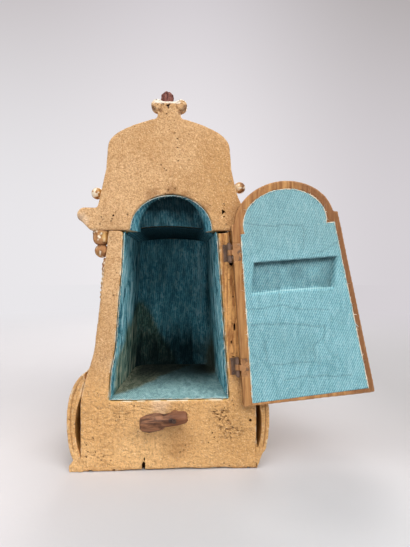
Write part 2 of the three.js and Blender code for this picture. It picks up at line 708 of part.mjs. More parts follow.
function wallLining(side) {
  const outer = (z, y) => side * (chamberHalf(z, y) - SEAT);
  const inner = (z, y) => side * (chamberHalf(z, y) - inside);
  const [left, right] = side < 0 ? [outer, inner] : [inner, outer];
  return taperedBlock(left, right, SEAT, CHAMBER_DEPTH - clear, FLOOR_Z + clear, liningTop);
}

function flatLining(inset, fromY, toY, fromZ, toZ) {
  const edge = (sign) => (z, y) => sign * (chamberHalf(z, y) - inset);
  return taperedBlock(edge(-1), edge(1), fromY, toY, fromZ, toZ);
}

const floorLining = () =>
  flatLining(SEAT, SEAT, CHAMBER_DEPTH - SEAT, FLOOR_Z + SEAT, FLOOR_Z + inside);
const nicheLining = () =>
  cut(nicheBlock(SEAT, SEAT, NICHE_DEPTH - SEAT, 0), nicheBlock(inside, -PAST, NICHE_DEPTH - inside, -PAST),
    vaultHollow());

function farLining() {
  const fromY = CHAMBER_DEPTH - inside;
  const toY = CHAMBER_DEPTH - SEAT;
  const wall = flatLining(SEAT, fromY, toY, FLOOR_Z + clear, liningTop);
  return join(wall, plate(vaultShape(clear, liningTop - PAST), fromY, toY));
}

function ceilingLining() {
  const fromY = GABLE_THICK + SEAT;
  const toY = CHAMBER_DEPTH - SEAT;
  const flat = flatLining(SEAT, fromY, toY, BODY_TOP - CLOTH, BODY_TOP);
  const hollow = plate(vaultShape(inside, BODY_TOP - PAST), fromY - PAST, toY + PAST);
  return cut(join(flat, plate(vaultShape(SEAT, BODY_TOP - CLOTH / 2), fromY, toY)), hollow);
}

// Door outline: the opening's own outline, moved out or in on each side. The hinge is on the right.
function doorShape({ hinge, free, arch, shoulder, bottom }) {
  const slant = 1 / Math.cos(MOUTH_TILT);
  const sideX = (z, outset) => lerp(MOUTH_FLOOR_HALF, MOUTH_TOP_HALF, (z - FLOOR_Z) / (BODY_TOP - FLOOR_Z))
    + outset * slant;
  const foot = FLOOR_Z - bottom;
  const head = BODY_TOP + shoulder;
  const archHalf = NICHE_HALF + arch;
  const archRise = NICHE_RISE + arch - ARCH_DROP;
  const turn = Math.asin(shoulder / archRise);
  const shape = new THREE.Shape();
  shape.moveTo(-sideX(foot, free), foot);
  shape.lineTo(sideX(foot, hinge), foot);
  shape.lineTo(sideX(head, hinge), head);
  shape.absellipse(ARCH_SHIFT, BODY_TOP, archHalf, archRise, turn, Math.PI - turn);
  shape.lineTo(-sideX(head, free), head);
  return shape;
}

// Cloth outline on the door, and the shallow field sunk in the board for it.
const clothShape = (grow) => doorShape({ hinge: grow - CLOTH_EDGE, free: grow - CLOTH_EDGE, arch: grow,
  shoulder: grow - CLOTH_SHOULDER, bottom: CLOTH_FOOT + grow });
const doorInnerY = -SEAT;
const fieldY = doorInnerY - inside;
const recessFloorY = fieldY - RECESS_DEPTH;

// Recess box, cut a little askew.
const recessTop = BODY_TOP - RECESS_BELOW_TOP;
const recessHalf = chamberHalf(recessTop, 0) - CLOTH_EDGE;
function recessBox(inset, fromY, toY) {
  const middleX = (RECESS_FREE_MARGIN - RECESS_HINGE_MARGIN) / 2;
  const halfWidth = recessHalf - (RECESS_FREE_MARGIN + RECESS_HINGE_MARGIN) / 2 - inset;
  const halfHeight = RECESS_HEIGHT / 2 - inset;
  const upright = box(-halfWidth, halfWidth, fromY, toY, -halfHeight, halfHeight);
  const askew = remap(upright, (p) => p.set(p.x - RECESS_LEAN * p.z, p.y, p.z + RECESS_SLOPE * p.x));
  return askew.translate(middleX, 0, recessTop - RECESS_HEIGHT / 2);
}

function doorGeometry() {
  const outline = doorShape({ hinge: HINGE_OVERLAP, free: FREE_OVERLAP, arch: ARCH_OVERLAP,
    shoulder: SHOULDER_OVERLAP, bottom: BOTTOM_OVERLAP });
  return cut(plate(outline, DOOR_OUTER_Y, doorInnerY), plate(clothShape(SEAT), fieldY, PAST),
    recessBox(0, recessFloorY, PAST), ...hingeCuts(doorMortise(), doorLeafY, -1));
}

// Door cloth: a sheet in the sunk field that dips into the recess as a tray.
function doorLiningGeometry() {
  const sheet = cut(plate(clothShape(0), fieldY + SEAT, doorInnerY), recessBox(SEAT, DOOR_OUTER_Y, PAST));
  const tray = cut(recessBox(SEAT, recessFloorY + SEAT, doorInnerY),
    recessBox(inside, recessFloorY + inside, PAST));
  return join(sheet, tray);
}

// Hinge leaves, drawn about the pin with the frame behind them.
function knuckle(fromZ, toZ) {
  const shape = new THREE.Shape().absarc(0, 0, KNUCKLE_R, 0, 2 * Math.PI);
  shape.holes.push(new THREE.Path().absarc(0, 0, PIN_R + SEAT, 0, 2 * Math.PI));
  const options = { depth: toZ - fromZ, bevelEnabled: false, curveSegments: ROUND / 2 };
  return new THREE.ExtrudeGeometry(shape, options).translate(0, 0, fromZ);
}

const knuckleLength = HINGE_LENGTH / 3;

function frameLeaf() {
  const far = frameLeafY + LEAF_THICK;
  const webX = LEAF_THICK - KNUCKLE_R + SEAT;
  const strap = box(-LEAF_REACH, webX, frameLeafY, far, -HALF_HINGE, HALF_HINGE);
  const web = (fromZ, toZ) => box(webX - LEAF_THICK, webX, 0, far, fromZ, toZ);
  const middle = knuckleLength / 2 + SEAT / 2;
  const whole = join(strap, web(middle, HALF_HINGE), web(-HALF_HINGE, -middle),
    knuckle(middle, HALF_HINGE), knuckle(-HALF_HINGE, -middle));
  const bore = rodAlongZ(PIN_R + SEAT, -HINGE_LENGTH, HINGE_LENGTH);
  const holes = Object.values(nailHeights)
    .map((z) => rodAlongY(NAIL_HEAD_R + SEAT, frameLeafY - PAST, far + PAST, NAIL_X, z));
  return cut(whole, bore, ...holes);
}

function doorLeaf() {
  const near = doorLeafY - LEAF_THICK;
  const strap = box(-LEAF_REACH - PIN_OFFSET, -PIN_OFFSET, near, doorLeafY, -HALF_HINGE, HALF_HINGE);
  const middle = knuckleLength / 2 - SEAT / 2;
  const bridge = box(-PIN_OFFSET - LEAF_THICK, LEAF_THICK - KNUCKLE_R, near, doorLeafY, -middle, middle);
  const web = box(-KNUCKLE_R, LEAF_THICK - KNUCKLE_R, 0, doorLeafY, -middle, middle);
  const bore = rodAlongZ(PIN_R + SEAT, -HINGE_LENGTH, HINGE_LENGTH);
  const holes = Object.values(nailHeights).map((z) =>
    rodAlongY(NAIL_HEAD_R + SEAT, near - PAST, doorLeafY + PAST, NAIL_X - PIN_OFFSET / 2, z));
  return cut(join(strap, bridge, web, knuckle(-middle, middle)), bore, ...holes);
}

function hingePin() {
  const cap = HALF_HINGE + SEAT;
  return join(rodAlongZ(PIN_R, -cap, cap), rodAlongZ(PIN_CAP_R, cap - SEAT / 2, cap + PIN_CAP),
    rodAlongZ(PIN_CAP_R, -cap - PIN_CAP, SEAT / 2 - cap));
}

// A nail whose flat head lies flush with a leaf's face and whose shank runs into the wood.
function leafNail(faceY, way, z) {
  const rod = (radius, from, to) => {
    const ends = [faceY + way * from, faceY + way * to].sort((a, b) => a - b);
    return rodAlongY(radius, ...ends, NAIL_X - (way < 0 ? PIN_OFFSET / 2 : 0), z);
  };
  return join(rod(NAIL_HEAD_R, 0, LEAF_THICK - SEAT), rod(NAIL_SHANK_R, 0, NAIL_LENGTH));
}

// Turn button: a round post on the pivot that carries a bar with a broad tongue and a narrower heel.
const barBackY = DOOR_OUTER_Y - SWING_GAP;
const barFrontY = barBackY - BUTTON_BAR_THICK;

function buttonGeometry() {
  const half = [
    [BUTTON_HEEL, BUTTON_HEEL_HALF - BUTTON_CHAMFER], [BUTTON_HEEL - BUTTON_CHAMFER, BUTTON_HEEL_HALF],
    [-BUTTON_WAIST, BUTTON_HEEL_HALF], [-BUTTON_WAIST - BUTTON_CHAMFER, BUTTON_HALF],
    [BUTTON_CHAMFER - BUTTON_TONGUE, BUTTON_HALF], [-BUTTON_TONGUE, BUTTON_HALF - 2 * BUTTON_CHAMFER],
  ];
  const outline = [...half, ...half.map(([x, z]) => [x, -z]).reverse()];
  const shape = new THREE.Shape(outline.map(([x, z]) => new THREE.Vector2(x, z)));
  const bar = plate(shape, barFrontY, barBackY);
  const post = rodAlongY(BUTTON_POST_R, barBackY - SEAT, -SEAT);
  return cut(join(bar, post), rodAlongY(PIVOT_R + SEAT, barFrontY - PAST, PAST));
}

function pivotNail() {
  const seatY = barFrontY - SEAT;
  return join(rodAlongY(PIVOT_R, seatY - PIVOT_HEAD / 2, PIVOT_DEPTH),
    rodAlongY(PIVOT_HEAD_R, seatY - PIVOT_HEAD, seatY));
}

// Assembly: fixed pieces, the door on its hinge line and the button on its pivot.
const reliquary = new THREE.Group();
reliquary.position.y = -BODY_DEPTH / 2;

reliquary.add(
  named('body_block', bodyGeometry(), OCHRE),
  named('gable_board', gableGeometry(), OCHRE),
  named('cornice_board', corniceGeometry(), GILT),
  named('bell_roof', roofGeometry(), GILT),
  named('base_panel_front', frontPanelGeometry(), GILT),
  named('front_frame', frameGeometry(), GILT),
  named('sun_rays', raysGeometry(), GILT),
  named('sun_boss', bossGeometry(), GILT),
  named('finial_peg', pegGeometry(), BOLE_WOOD),
  named('lining_floor', floorLining(), TURQUOISE),
  named('lining_far_wall', farLining(), TURQUOISE),
  named('lining_ceiling', ceilingLining(), TURQUOISE),
  named('lining_niche', nicheLining(), TURQUOISE),
);

const rowsOfCorners = { rear: CAPITAL_INSET_Y, front: BODY_DEPTH - CAPITAL_INSET_Y };
for (const [hand, side] of [['left', -1], ['right', 1]]) {
  reliquary.add(
    named(`base_panel_${hand}`, sidePanelGeometry(side), GILT),
    named(`gable_bead_${hand}`, beadGeometry(beads[hand]), GILT),
    named(`gable_dowel_${hand}`, dowelGeometry(side), BARE_WOOD),
    named(`lining_${hand}_wall`, wallLining(side), TURQUOISE),
  );
  for (const [row, y] of Object.entries(rowsOfCorners)) {
    reliquary.add(
      named(`capital_${row}_${hand}`, capitalGeometry(side, y), GILT),
      named(`leaf_drop_${row}_${hand}`, leafDropGeometry(side, y), GILT),
    );
  }
}

const swing = new THREE.Group();
const doorPieces = new THREE.Group();
const pinFoot = new THREE.Vector3(pinX(0), -PIN_STANDOFF, 0);
const pinAxis = new THREE.Vector3(-Math.sin(MOUTH_TILT), 0, Math.cos(MOUTH_TILT));
swing.position.copy(pinFoot);
swing.quaternion.setFromAxisAngle(pinAxis, THREE.MathUtils.degToRad(DOOR_REST_DEG));
doorPieces.position.copy(pinFoot).negate();
swing.add(doorPieces);
reliquary.add(swing);
doorPieces.add(
  named('door_board', doorGeometry(), BARE_WOOD),
  named('door_lining', doorLiningGeometry(), TURQUOISE),
);

for (const [place, height] of Object.entries(hingeHeights)) {
  reliquary.add(
    named(`${place}_hinge_frame_leaf`, onHinge(frameLeaf(), height), IRON),
    named(`${place}_hinge_pin`, onHinge(hingePin(), height), IRON),
  );
  doorPieces.add(named(`${place}_hinge_door_leaf`, onHinge(doorLeaf(), height), IRON));
  for (const [end, z] of Object.entries(nailHeights)) {
    reliquary.add(named(`${place}_frame_nail_${end}`, onHinge(leafNail(frameLeafY, 1, z), height), IRON));
    doorPieces.add(named(`${place}_door_nail_${end}`, onHinge(leafNail(doorLeafY, -1, z), height), IRON));
  }
}

const button = named('turn_button', buttonGeometry(), DARK_WOOD);
button.position.set(BUTTON_X, 0, BUTTON_Z);
button.rotation.y = THREE.MathUtils.degToRad(-BUTTON_DIP_DEG);
const pivot = named('button_nail', pivotNail(), IRON);
pivot.position.set(BUTTON_X, 0, BUTTON_Z);
reliquary.add(button, pivot);

export default reliquary;
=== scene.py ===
# Carved wooden reliquary seen from its door side: weathered wood, worn gilding, turquoise cloth linings.
# Shapes are written in millimetres with y measured in from the door side, as in the part's source.
import json
import math

import bmesh
import bpy
import numpy as np
from mathutils import Matrix, Vector

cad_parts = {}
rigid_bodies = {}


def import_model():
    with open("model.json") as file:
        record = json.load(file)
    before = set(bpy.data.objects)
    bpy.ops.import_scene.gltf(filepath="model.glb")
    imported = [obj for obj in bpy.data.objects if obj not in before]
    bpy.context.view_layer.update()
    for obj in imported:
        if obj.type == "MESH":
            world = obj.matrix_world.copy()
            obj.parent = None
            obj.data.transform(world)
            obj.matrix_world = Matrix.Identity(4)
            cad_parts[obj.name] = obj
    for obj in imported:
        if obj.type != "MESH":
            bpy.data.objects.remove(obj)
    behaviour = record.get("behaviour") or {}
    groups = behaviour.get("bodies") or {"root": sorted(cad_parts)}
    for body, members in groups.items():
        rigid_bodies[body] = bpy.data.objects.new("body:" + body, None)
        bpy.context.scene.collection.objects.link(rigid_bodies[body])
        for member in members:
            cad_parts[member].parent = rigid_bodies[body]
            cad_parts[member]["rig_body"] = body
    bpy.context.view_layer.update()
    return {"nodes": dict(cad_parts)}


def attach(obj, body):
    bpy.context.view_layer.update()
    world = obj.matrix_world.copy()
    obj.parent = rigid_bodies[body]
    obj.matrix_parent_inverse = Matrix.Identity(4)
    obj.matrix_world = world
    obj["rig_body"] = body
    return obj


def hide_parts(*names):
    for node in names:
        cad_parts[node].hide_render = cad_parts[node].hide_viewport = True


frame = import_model()
nodes = frame["nodes"]
scene = bpy.context.scene

# Units, and sizes repeated from the part's source.
MM = 0.001
TURN = 2 * math.pi
BACK_Y = 76.0
BODY_TOP = 209.5
BODY_DEPTH = 152.0
BASE_HALF = 77.0
FRONT_DRAW = 6.0
TOP_HALF = 52.5
FLOOR_Z = 61.0
CHAMBER_DEPTH = 140.0
MOUTH_TOP_HALF = 42.7
MOUTH_FLOOR_HALF = 53.0
FAR_FLOOR_INSET = 7.0
FAR_TOP_INSET = 2.2
NICHE_HALF = 36.6
NICHE_RISE = 31.5
NICHE_DEPTH = 20.0
NICHE_SPLAY = 7.5
NICHE_LIFT = 2.0
ARCH_SHIFT = 1.7
ARCH_DROP = 2.9
VAULT_HALF = 39.3
VAULT_RISE = 6.5
CAPITAL_OUTSET = 7.4
SUN_Z = 154.5
FRAME_SPRING_Z = 164.5
FRAME_SILL_Z = 94.0
FRAME_HALF = 37.0
FRAME_WIDTH = 8.0
MOUTH_TILT = math.atan((MOUTH_FLOOR_HALF - MOUTH_TOP_HALF) / (BODY_TOP - FLOOR_Z))
PIN_FOOT = Vector((65.8516, -4.3, 0.0))
PIN_AXIS = Vector((-math.sin(MOUTH_TILT), 0.0, math.cos(MOUTH_TILT)))
DOOR_INNER_Y = -0.3
RECESS_X, RECESS_Z = 0.5, 162.5
RECESS_HALF_WIDTH, RECESS_HALF_HEIGHT = 37.7, 14.3
RECESS_LEAN, RECESS_SLOPE = 0.24, 0.06
RECESS_DEPTH = 5.0
CLOTH_EDGE = 1.8
CLOTH_SHOULDER = 5.3
CLOTH_FOOT = 2.6
FOOT_DROP, FOOT_REACH = 4.4, 4.8
BUTTON_X, BUTTON_Z = 4.8, 48.6
BAR_FRONT_Y, BAR_BACK_Y = -15.3, -8.9

# Sizes of the worn surface: paint goes in to these depths, and points closer than the weld are one.
WELD = 0.002
WOOD_BELOW_Z = 0.8
BODY_PAINT_Y, GABLE_PAINT_Y, PANEL_PAINT_Y, DOOR_PAINT_Y = 0.75, 2.4, 3.0, -7.6
PLUG_HEAD_Y, PLUG_TAPER = -3.0, 0.45
CLOTH_THICK = 0.35
VAULT_MARGIN = 0.06
NICHE_TURN = 0.4
CLOTH_FOOT_Z, CLOTH_HEAD_Z = FLOOR_Z - CLOTH_FOOT, BODY_TOP + NICHE_RISE - ARCH_DROP
SIDES = ("left", -1), ("right", 1)


def rgb(tone):
    """Linear colour from a display colour written in hex."""
    shares = [c / 255 for c in bytes.fromhex(tone)]
    return (*[((c + 0.055) / 1.055) ** 2.4 if c > 0.04 else c / 12.92 for c in shares], 1.0)


def narrowed(y):
    return 1 - (FRONT_DRAW / BASE_HALF) * (y / BODY_DEPTH)


def chamber_half(z, y):
    rise = (z - FLOOR_Z) / (BODY_TOP - FLOOR_Z)
    mouth = MOUTH_FLOOR_HALF + (MOUTH_TOP_HALF - MOUTH_FLOOR_HALF) * rise
    inset = FAR_FLOOR_INSET + (FAR_TOP_INSET - FAR_FLOOR_INSET) * rise
    return mouth - inset * (y / CHAMBER_DEPTH)


# Smooth random fields over points given as rows of x, y, z.
def hashed(cell, seed):
    n = cell[..., 0] * 374761393 + cell[..., 1] * 668265263 + cell[..., 2] * 2147483647 + seed * 1274126177
    n = (n ^ (n >> 13)) * 1274126177 & 0x7FFFFFFF
    return ((n ^ (n >> 16)) & 0xFFFF) / 65535.0


def field(points, size, seed=0):
    """Random values from -1 to 1 that vary smoothly over about that size."""
    p = np.asarray(points, float) / size
    low = np.floor(p).astype(np.int64)
    t = p - low
    t = t * t * (3 - 2 * t)
    total = np.zeros(len(p))
    for corner in np.ndindex(2, 2, 2):
        weight = np.prod(np.where(corner, t, 1 - t), axis=1)
        total += weight * hashed(low + np.array(corner), seed)
    return total * 2 - 1


def ridge(value, width):
    """One at a line and zero beyond its width, rounded between."""
    return np.clip(1 - (value / width) ** 2, 0, 1)


def ramp(value, low, high):
    return np.clip((value - low) / (high - low), 0, 1)


def step(value, low, high):
    t = ramp(value, low, high)
    return t * t * (3 - 2 * t)


# Procedural materials and the backdrop, put together from nodes.
class Nodes:
    def __init__(self, tree):
        self.tree = tree

    def add(self, kind, inputs=None, **settings):
        node = self.tree.nodes.new(kind)
        for key, value in settings.items():
            setattr(node, key, value)
        for key, value in (inputs or {}).items():
            self.feed(node.inputs[key], value)
        return node

    def feed(self, socket, value):
        if isinstance(value, bpy.types.NodeSocket):
            self.tree.links.new(value, socket)
        else:
            socket.default_value = rgb(value) if isinstance(value, str) else value

    def math(self, operation, a, b=0.0):
        return self.add("ShaderNodeMath", {0: a, 1: b}, operation=operation).outputs[0]

    def times(self, a, b):
        return self.math("MULTIPLY", a, b)

    def plus(self, a, b):
        return self.math("ADD", a, b)

    def most(self, a, b):
        return self.math("MAXIMUM", a, b)

    def heap(self, *layers):
        """Sum of values, each times its weight."""
        total = 0.0
        for value, weight in layers:
            total = self.plus(total, self.times(value, weight))
        return total

    def band(self, value, low, high, start=0.0, end=1.0, curve="SMOOTHSTEP"):
        inputs = {"Value": value, "From Min": low, "From Max": high, "To Min": start, "To Max": end}
        return self.add("ShaderNodeMapRange", inputs, interpolation_type=curve).outputs[0]

    def mix(self, factor, a, b, blend="MIX"):
        node = self.add("ShaderNodeMix", {0: factor, 6: a, 7: b}, data_type="RGBA", blend_type=blend)
        return node.outputs[2]

    def shown(self):
        """One where the camera or a reflection looks, zero where light falls."""
        rays = self.add("ShaderNodeLightPath").outputs
        return self.most(rays["Is Camera Ray"], rays["Is Glossy Ray"])


class Finish(Nodes):
    """A material whose textures lie in the object's own frame and whose colours are laid over each other."""

    def __init__(self, name, specular):
        self.material = bpy.data.materials.new(name)
        self.material.use_nodes = True
        super().__init__(self.material.node_tree)
        self.shader = self.tree.nodes["Principled BSDF"]
        self.shader.inputs["Specular IOR Level"].default_value = specular
        self.place = self.add("ShaderNodeTexCoord").outputs["Object"]
        self.colour = None

    def noise(self, scale, detail=3.0, stretch=None, distortion=0.0):
        place = self.place
        if stretch:
            place = self.add("ShaderNodeMapping", {"Vector": place, "Scale": stretch}).outputs[0]
        inputs = {"Vector": place, "Scale": scale, "Detail": detail, "Distortion": distortion}
        return self.add("ShaderNodeTexNoise", inputs).outputs[0]

    def cells(self, scale):
        return self.add("ShaderNodeTexVoronoi", {"Vector": self.place, "Scale": scale}).outputs["Distance"]

    def measured(self, operation, vector):
        """A vector operation on the place that gives one value."""
        inputs = {0: self.place, 1: vector}
        return self.add("ShaderNodeVectorMath", inputs, operation=operation).outputs["Value"]

    def along(self, x, y, z):
        """Distance of a point along a direction."""
        return self.measured("DOT_PRODUCT", (x, y, z))

    def spot(self, x, y, z, radius, soft, rough=0.0):
        """A soft patch round a point given in model millimetres."""
        distance = self.measured("DISTANCE", (x * MM, (y - BACK_Y) * MM, z * MM))
        if rough:
            distance = self.plus(distance, self.times(self.plus(self.noise(140), -0.5), rough * MM))
        return self.band(distance, radius * MM, (radius - soft) * MM)

    def raised(self):
        """Above one half on edges that stand out, below it in hollows."""
        return self.add("ShaderNodeNewGeometry").outputs["Pointiness"]

    def lay(self, mask, tone, share=None):
        """Lay a tone over the colour so far, or a share of it."""
        if share is not None:
            mask = self.times(mask, share)
        self.colour = self.mix(mask, self.colour, tone)

    def tint(self, value, low, high, tone, share=1.0):
        """Lay a share of a tone where a value passes from low to high."""
        self.lay(self.band(value, low, high, 0.0, share), tone)

    def done(self, roughness, height, deep, metallic=0.0):
        """The material with its colour, and with a height as bumps of that depth in metres."""
        bump = self.add("ShaderNodeBump", {"Height": height, "Distance": deep, "Strength": 1.0}).outputs[0]
        inputs = {"Base Color": self.colour, "Roughness": roughness, "Normal": bump, "Metallic": metallic}
        for key, value in inputs.items():
            self.feed(self.shader.inputs[key], value)
        return self.material


def ochre_paint(name, marked):
    """Ochre on gesso, with the wear and damage of the back of the case if it is marked."""
    f = Finish(name, 0.25)
    across, up = f.along(1, 0, 0), f.along(0, 0, 1)
    broad = f.band(f.noise(20, 4), 0.36, 0.66)
    upper = f.mix(broad, "dbb283", "c99e6d")
    lower = f.mix(broad, "f1c286", "e0ae72")
    base = f.band(up, 0.10, 0.06)
    f.colour = f.mix(base, upper, lower)
    f.tint(across, 0.0, 0.06, "c6965c", 0.5)
    brush = f.noise(90, 5, stretch=(4, 4, 0.7))
    f.tint(brush, 0.5, 0.75, "be905e", 0.4)
    grains = f.noise(900, 2)
    lumps = f.noise(380)
    grainy = f.times(f.band(grains, 0.46, 0.62, 0, 0.6), f.band(base, 0, 1, 1, 0.5))
    f.lay(grainy, "a87a4c")
    f.tint(f.noise(760, 2), 0.56, 0.7, "f6d4a8", 0.6)
    f.tint(lumps, 0.54, 0.66, "ac8052", 0.5)
    pits = f.times(f.band(f.cells(190), 0.17, 0.05), f.band(f.noise(50, 2), 0.5, 0.62))
    f.lay(pits, "684426", 0.7)
    if marked:
        # Handling has browned the hinge stile, and the button has rubbed the paint round it.
        stile = f.times(f.band(f.along(1, 0, 0.07), 0.056, 0.060), f.band(up, 0.07, 0.1))
        stile = f.times(stile, f.band(up, 0.2095, 0.209))
        grain = f.noise(46, 7, stretch=(8, 8, 1))
        worn = f.mix(f.band(grain, 0.4, 0.62), "e2aa68", "986234")
        f.lay(stile, worn, 0.9)
        f.lay(f.spot(-8, 0, 57, 13, 10, 8), "e9c4a0", 0.7)
        f.lay(f.spot(6, 0, 26, 22, 18, 16), "a07242", 0.4)
        # Dirt lies on the eaves and above the arch.
        f.lay(f.spot(66, 0, 226, 20, 16, 10), "96683e", 0.45)
        f.lay(f.spot(-50, 0, 214, 16, 12, 10), "966c42", 0.25)
        for x, z, radius in ((-15, 240, 9), (2, 243.5, 8), (15, 241, 7), (31, 229, 7)):
            f.lay(f.spot(x, 0, z, radius, 6, 6), "8c5e34", 0.5)
        f.lay(f.spot(-77.4, 0, 220, 4.2, 2.6, 2), "805836", 0.65)
    # Gesso shows on worn edges, and most of all round the crest.
    crest = f.band(up, 0.310, 0.316)
    edge = f.band(f.raised(), 0.518, 0.57)
    ragged = f.most(f.band(f.noise(150), 0.5, 0.62, 0, 0.7), f.times(crest, 0.9))
    f.lay(f.times(edge, ragged), "eedaba")
    f.tint(f.raised(), 0.49, 0.45, "78502c", 0.6)
    if marked:
        # White ground round the foot of the peg and on the eave tip, and painted shade in brown below and
        # beside the volutes.
        ground = f.times(f.band(up, 0.3203, 0.3218), f.spot(-2, 0, 322.5, 13, 4, 9))
        f.lay(ground, "f6ecdc", 0.9)
        f.lay(f.spot(-77, 0, 219, 9, 5, 9), "f4e8d6", 0.2)
        volutes = (-15, 315.5, 4.6), (-7.6, 314.6, 3), (15.2, 317, 4.6), (10, 313.6, 3.6), (7, 318, 1.8)
        for x, z, radius in volutes:
            f.lay(f.spot(x, 0, z, radius, 2.4, 2), "764e30", 0.75)
    layers = [(grains, 0.5), (lumps, 0.8), (brush, 0.5), (f.noise(70), 0.8), (pits, -1.4)]
    if marked:
        # Paint flaked off beside the worm holes.
        flaked = f.most(f.spot(45, 0, 47, 13, 9, 8), f.spot(54, 0, 34, 16, 11, 8))
        flaked = f.most(flaked, f.times(f.spot(-44, 0, 46, 15, 11, 8), 0.35))
        lifted = f.noise(210, 4, stretch=(1, 1, 1.6), distortion=1.6)
        flakes = f.times(flaked, f.band(lifted, 0.55, 0.6))
        f.lay(flakes, "80542c", 0.55)
        # Knife dents on the base, deepest at the left.
        left = f.times(base, f.band(across, 0.02, -0.04, 0.5, 1))
        dents = f.noise(130, 4, stretch=(1, 1, 1.5), distortion=0.6)
        layers += [(flakes, -1.2), (f.times(dents, left), 2.0)]
        f.lay(f.times(f.band(dents, 0.52, 0.66, 0, 0.12), left), "b2824e")
    return f.done(f.band(grains, 0.3, 0.7, 0.62, 0.85), f.heap(*layers), 0.0014)


def bare_wood():
    f = Finish("bare_wood", 0.3)
    grain = f.noise(34, 6, stretch=(9, 9, 0.7), distortion=0.3)
    f.colour = f.mix(f.band(grain, 0.3, 0.7), "c4925a", "88582e")
    f.tint(f.noise(16), 0.45, 0.7, "9e6a42", 0.5)
    f.tint(f.along(1, 0, 0.24), 0.166, 0.180, "805432", 0.9)
    fine = f.noise(230, 5, stretch=(6, 6, 0.4))
    f.tint(fine, 0.56, 0.76, "70462a", 0.5)
    f.tint(fine, 0.42, 0.28, "cc9e70", 0.4)
    f.tint(f.raised(), 0.512, 0.56, "d0a070", 0.35)
    f.tint(f.raised(), 0.49, 0.44, "482c18", 0.8)
    return f.done(f.band(fine, 0.3, 0.7, 0.5, 0.75), f.heap((grain, 0.6), (fine, 0.5)), 0.0006)


def gilding(name, browned, chipped):
    """Gold on bole and gesso; browned and chipped are the shares that have worn to wood and to gesso."""
    f = Finish(name, 0.4)
    soft = f.noise(70, 5)
    f.colour = f.mix(f.band(soft, 0.35, 0.65), "deb474", "be8e4e")
    brown = f.mix(f.band(f.noise(140, 4), 0.4, 0.6), "b07c50", "784e30")
    browning = f.band(f.noise(60, 4), 0.7 - 0.4 * browned, 0.8 - 0.4 * browned)
    f.lay(browning, brown, 0.9)
    darkening = f.band(f.raised(), 0.5, 0.45)
    f.lay(darkening, "5c3c20", 0.85)
    bole = f.band(f.noise(110, 6), 0.57, 0.66)
    f.lay(bole, "9c643e", 0.7)
    chip = f.times(f.band(f.raised(), 0.51, 0.55), f.band(f.noise(150, 4), 0.46, 0.54))
    patch = f.band(f.noise(130), 0.72 - 0.3 * chipped, 0.78 - 0.3 * chipped)
    chip = f.most(chip, patch)
    f.lay(chip, "f4e8d0", 0.95)
    bare = f.most(f.most(bole, chip), f.most(darkening, browning))
    metallic = f.band(bare, 0.7, 0.1, 0.0, 0.4)
    rough = f.band(bare, 0.1, 0.8, 0.38, 0.75)
    fine = f.noise(420, 4)
    return f.done(rough, f.plus(fine, soft), 0.0005, metallic)


def bole_wood():
    f = Finish("bole_wood", 0.25)
    grain = f.noise(90, 6, stretch=(6, 6, 1))
    f.colour = f.mix(f.band(grain, 0.35, 0.65), "8a584e", "54302c")
    f.tint(f.noise(260), 0.55, 0.7, "3c221c", 0.6)
    f.tint(f.raised(), 0.52, 0.58, "be8c76", 0.5)
    return f.done(f.band(grain, 0.3, 0.7, 0.6, 0.85), grain, 0.0009)


def dark_wood():
    f = Finish("dark_wood", 0.35)
    grain = f.noise(60, 7, stretch=(0.8, 8, 8), distortion=0.5)
    f.colour = f.mix(f.band(grain, 0.34, 0.66), "946444", "46291a")
    f.tint(f.along(1, 0, 0), -0.004, 0.006, "703e20", 0.7)
    f.tint(f.noise(120, 4), 0.55, 0.72, "362119", 0.7)
    f.tint(f.raised(), 0.52, 0.58, "9a6c4e", 0.6)
    f.lay(f.spot(2.2, -15, 48.5, 3, 2, 2), "32211b")
    return f.done(f.band(grain, 0.3, 0.7, 0.42, 0.65), grain, 0.0006)


def iron(name, covered):
    """Wrought iron, covered with paint beside the hinge barrel or bare."""
    f = Finish(name, 0.5)
    rust = f.band(f.noise(150, 4), 0.52, 0.68)
    f.colour = f.mix(f.noise(300, stretch=(2, 2, 0.5)), "927664", "403028")
    f.lay(rust, "6a4c38", 0.5)
    if covered:
        across = f.plus(f.along(math.cos(MOUTH_TILT), 0, math.sin(MOUTH_TILT)),
                        f.times(f.noise(120), 0.0016))
        painted = f.most(f.band(across, 0.0616, 0.0610), f.band(across, 0.0676, 0.0682))
        f.lay(painted, f.mix(f.noise(260), "b28254", "8a5e3a"))
    else:
        f.lay(0.75, "3a2820")
    metallic = f.band(rust, 0.1, 0.9, 0.5, 0.1)
    return f.done(f.band(rust, 0.1, 0.9, 0.5, 0.8), f.noise(500), 0.0003, metallic)


def painted_iron():
    f = Finish("painted_iron", 0.3)
    flake = f.band(f.noise(170), 0.56, 0.62)
    f.colour = f.mix(f.noise(260), "ba8a5c", "926440")
    f.lay(flake, "5c483a", 0.8)
    return f.done(f.band(flake, 0, 1, 0.7, 0.5), flake, 0.0002)


# Painted shade inside holes and cracks: mid brown where shallow, near black deeper in.
def painted_shade_hollow():
    f = Finish("painted_shade_hollow", 0.1)
    deep = f.mix(f.noise(400), "1e130c", "462e1c")
    f.colour = f.mix(f.band(f.along(0, 1, 0), -0.0754, -0.0738), "8c623a", deep)
    return f.done(0.9, f.noise(900, 2), 0.0003)


